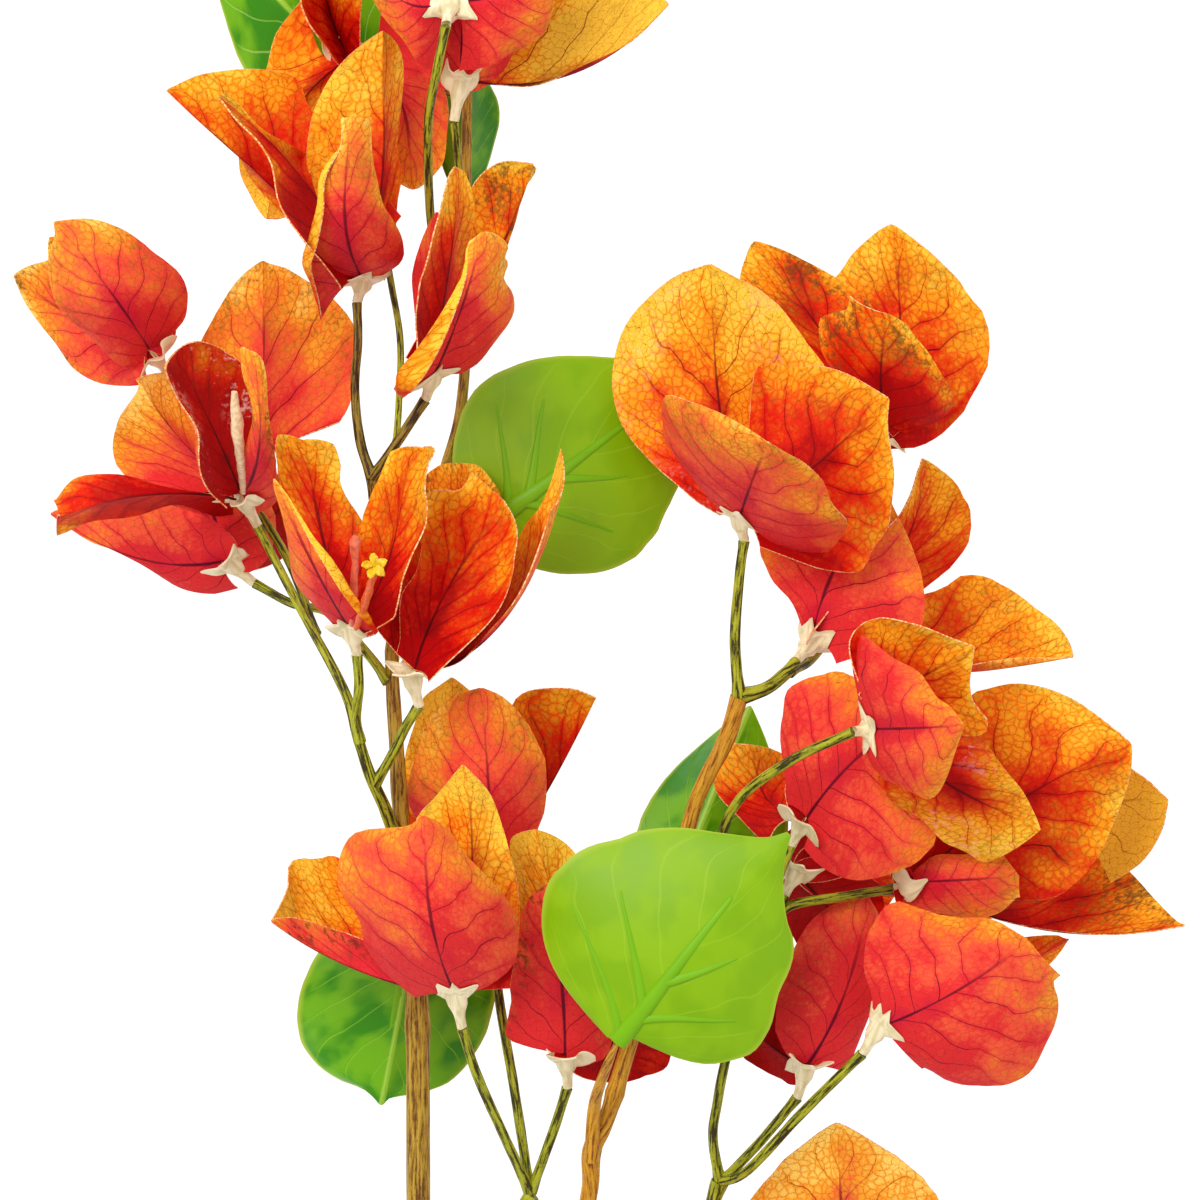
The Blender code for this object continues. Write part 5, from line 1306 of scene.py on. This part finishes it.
# Moulded ribs on a leaf's back: the start and end as shares along and across, and the half
# width at the start in mm.
moulded = [
    ((0.0, 0.0), (0.72, 0.05), 2.2),
    ((0.05, 0.06), (0.3, 0.78), 1.1),
    ((0.2, 0.03), (0.47, 0.62), 1.2),
    ((0.33, 0.03), (0.56, -0.4), 1.3),
    ((0.14, 0.0), (0.36, -0.68), 1.2),
]


ribForm = {"steps": 14, "sides": 16, "taper": 0.75, "raise": 0.3, "sag": 0.05}
stalkForm = {"steps": 6, "sides": 12, "sunk": 3.0, "endHalf": 2.0}


def lowRidge(i, turn, along):
    # a section half as tall as it is wide
    return 1 / math.hypot(math.cos(turn), 2 * math.sin(turn))


def makeLeaf(name, seed):
    given = leaves[name]
    base = place(given["base"])
    surface = Blade(given, base, leafForm, seed)
    sheets = Sheets(["flat", "spot", "drift", "tone"])
    blade(sheets, surface, ((0.0, 0.0, 0.0), (0.0, 0.0, 0.0)), (1, 0, 0))
    piece = sheets.make("looks_leaf_" + name, [leafBack, leafFront], 40)
    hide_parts("leaf_" + name)
    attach(piece, "root")
    ribs = Sheets(["flat"])
    for start, end, wide in moulded:
        line, radii = [], []
        for i in range(ribForm["steps"] + 1):
            t = i / ribForm["steps"]
            u = start[0] + (end[0] - start[0]) * t
            v = start[1] + (end[1] - start[1]) * t
            v += ribForm["sag"] * math.sin(math.pi * t) * (start[1] - end[1])
            lifted = surface.back * ribForm["raise"] * mm
            line.append(surface.spot(u, 1 if v > 0 else -1, abs(v)) + lifted)
            radii.append(wide * (1 - ribForm["taper"] * i / ribForm["steps"]) * mm)
        skin(ribs, line, radii, ribForm["sides"], seed * 1.3, lowRidge)
    raised = ribs.make("ribs_" + name, [ribPlastic], 60)
    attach(raised, "root")
    stalk = Sheets(["flat"])
    line = rounded([place(p) for p in given["stalk"]], stalkForm["steps"])
    line.append(line[-1] + (place(given["tip"]) - base).normalized() * stalkForm["sunk"] * mm)
    halves = spread(given["half"] + [stalkForm["endHalf"]], len(line))
    radii = [value * layout["step"] * mm for value in halves]
    skin(stalk, line, radii, stalkForm["sides"], seed * 2.2)
    rod = stalk.make("stalk_" + name, [stemPlastics["amber" if name == "front" else "olive"]], 60)
    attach(rod, "root")


for index, name in enumerate(leaves):
    makeLeaf(name, index + 40)
print("leaves made")

# The eye, the ground and the light.

studio = {
    "groundSize": 3.0,
    "groundDrop": 0.3,
    "groundGlow": 1.15,
    "sensor": 36.0,
    "farthest": 20.0,
    "sky": 0.68,
    "keyPower": 17.0,
    "keySize": 0.9,
    "keyPlace": (-0.55, 0.6, 1.3),
    "fillPower": 2.0,
    "fillSize": 1.2,
    "fillPlace": (0.9, -0.4, 0.9),
}


def makeGround():
    # it only glows, so that it stays plain white and lights the undersides evenly
    f = Finish("white ground", (0.0, 0.0, 0.0, 1.0))
    f.set(Roughness=1.0, Specular_IOR_Level=0.0, Emission_Color=(1.0, 1.0, 1.0, 1.0),
          Emission_Strength=studio["groundGlow"])
    size = studio["groundSize"]
    mesh = bpy.data.meshes.new("ground")
    low = -studio["groundDrop"] * mm
    corners = [(-size, -size, low), (size, -size, low), (size, size, low), (-size, size, low)]
    mesh.from_pydata(corners, [], [(0, 1, 2, 3)])
    mesh.materials.append(f.material)
    ground = bpy.data.objects.new("ground", mesh)
    bpy.context.scene.collection.objects.link(ground)


def makeLamp(name, spot, size, power):
    lamp = bpy.data.lights.new(name, "AREA")
    lamp.energy = power
    lamp.size = size
    holder = bpy.data.objects.new(name, lamp)
    holder.location = spot
    holder.rotation_euler = Vector(spot).to_track_quat("Z", "Y").to_euler()
    bpy.context.scene.collection.objects.link(holder)


def makeSky():
    world = bpy.data.worlds.new("studio")
    world.use_nodes = True
    sky = world.node_tree.nodes["Background"]
    sky.inputs["Color"].default_value = (1.0, 1.0, 1.0, 1.0)
    sky.inputs["Strength"].default_value = studio["sky"]
    bpy.context.scene.world = world


def makeCamera():
    eye = bpy.data.cameras.new("eye")
    eye.sensor_width = studio["sensor"]
    eye.lens = studio["sensor"] * layout["eye"] / (layout["picture"] * layout["step"])
    eye.clip_end = studio["farthest"]
    holder = bpy.data.objects.new("eye", eye)
    below = place((layout["middle"], layout["middle"], layout["eyeHeight"]))
    holder.location = below + Vector((0, 0, layout["eye"] * mm))
    bpy.context.scene.collection.objects.link(holder)
    bpy.context.scene.camera = holder


makeGround()
makeLamp("key", studio["keyPlace"], studio["keySize"], studio["keyPower"])
makeLamp("fill", studio["fillPlace"], studio["fillSize"], studio["fillPower"])
makeSky()
makeCamera()
bpy.context.scene.view_settings.view_transform = "Standard"
print("studio made")
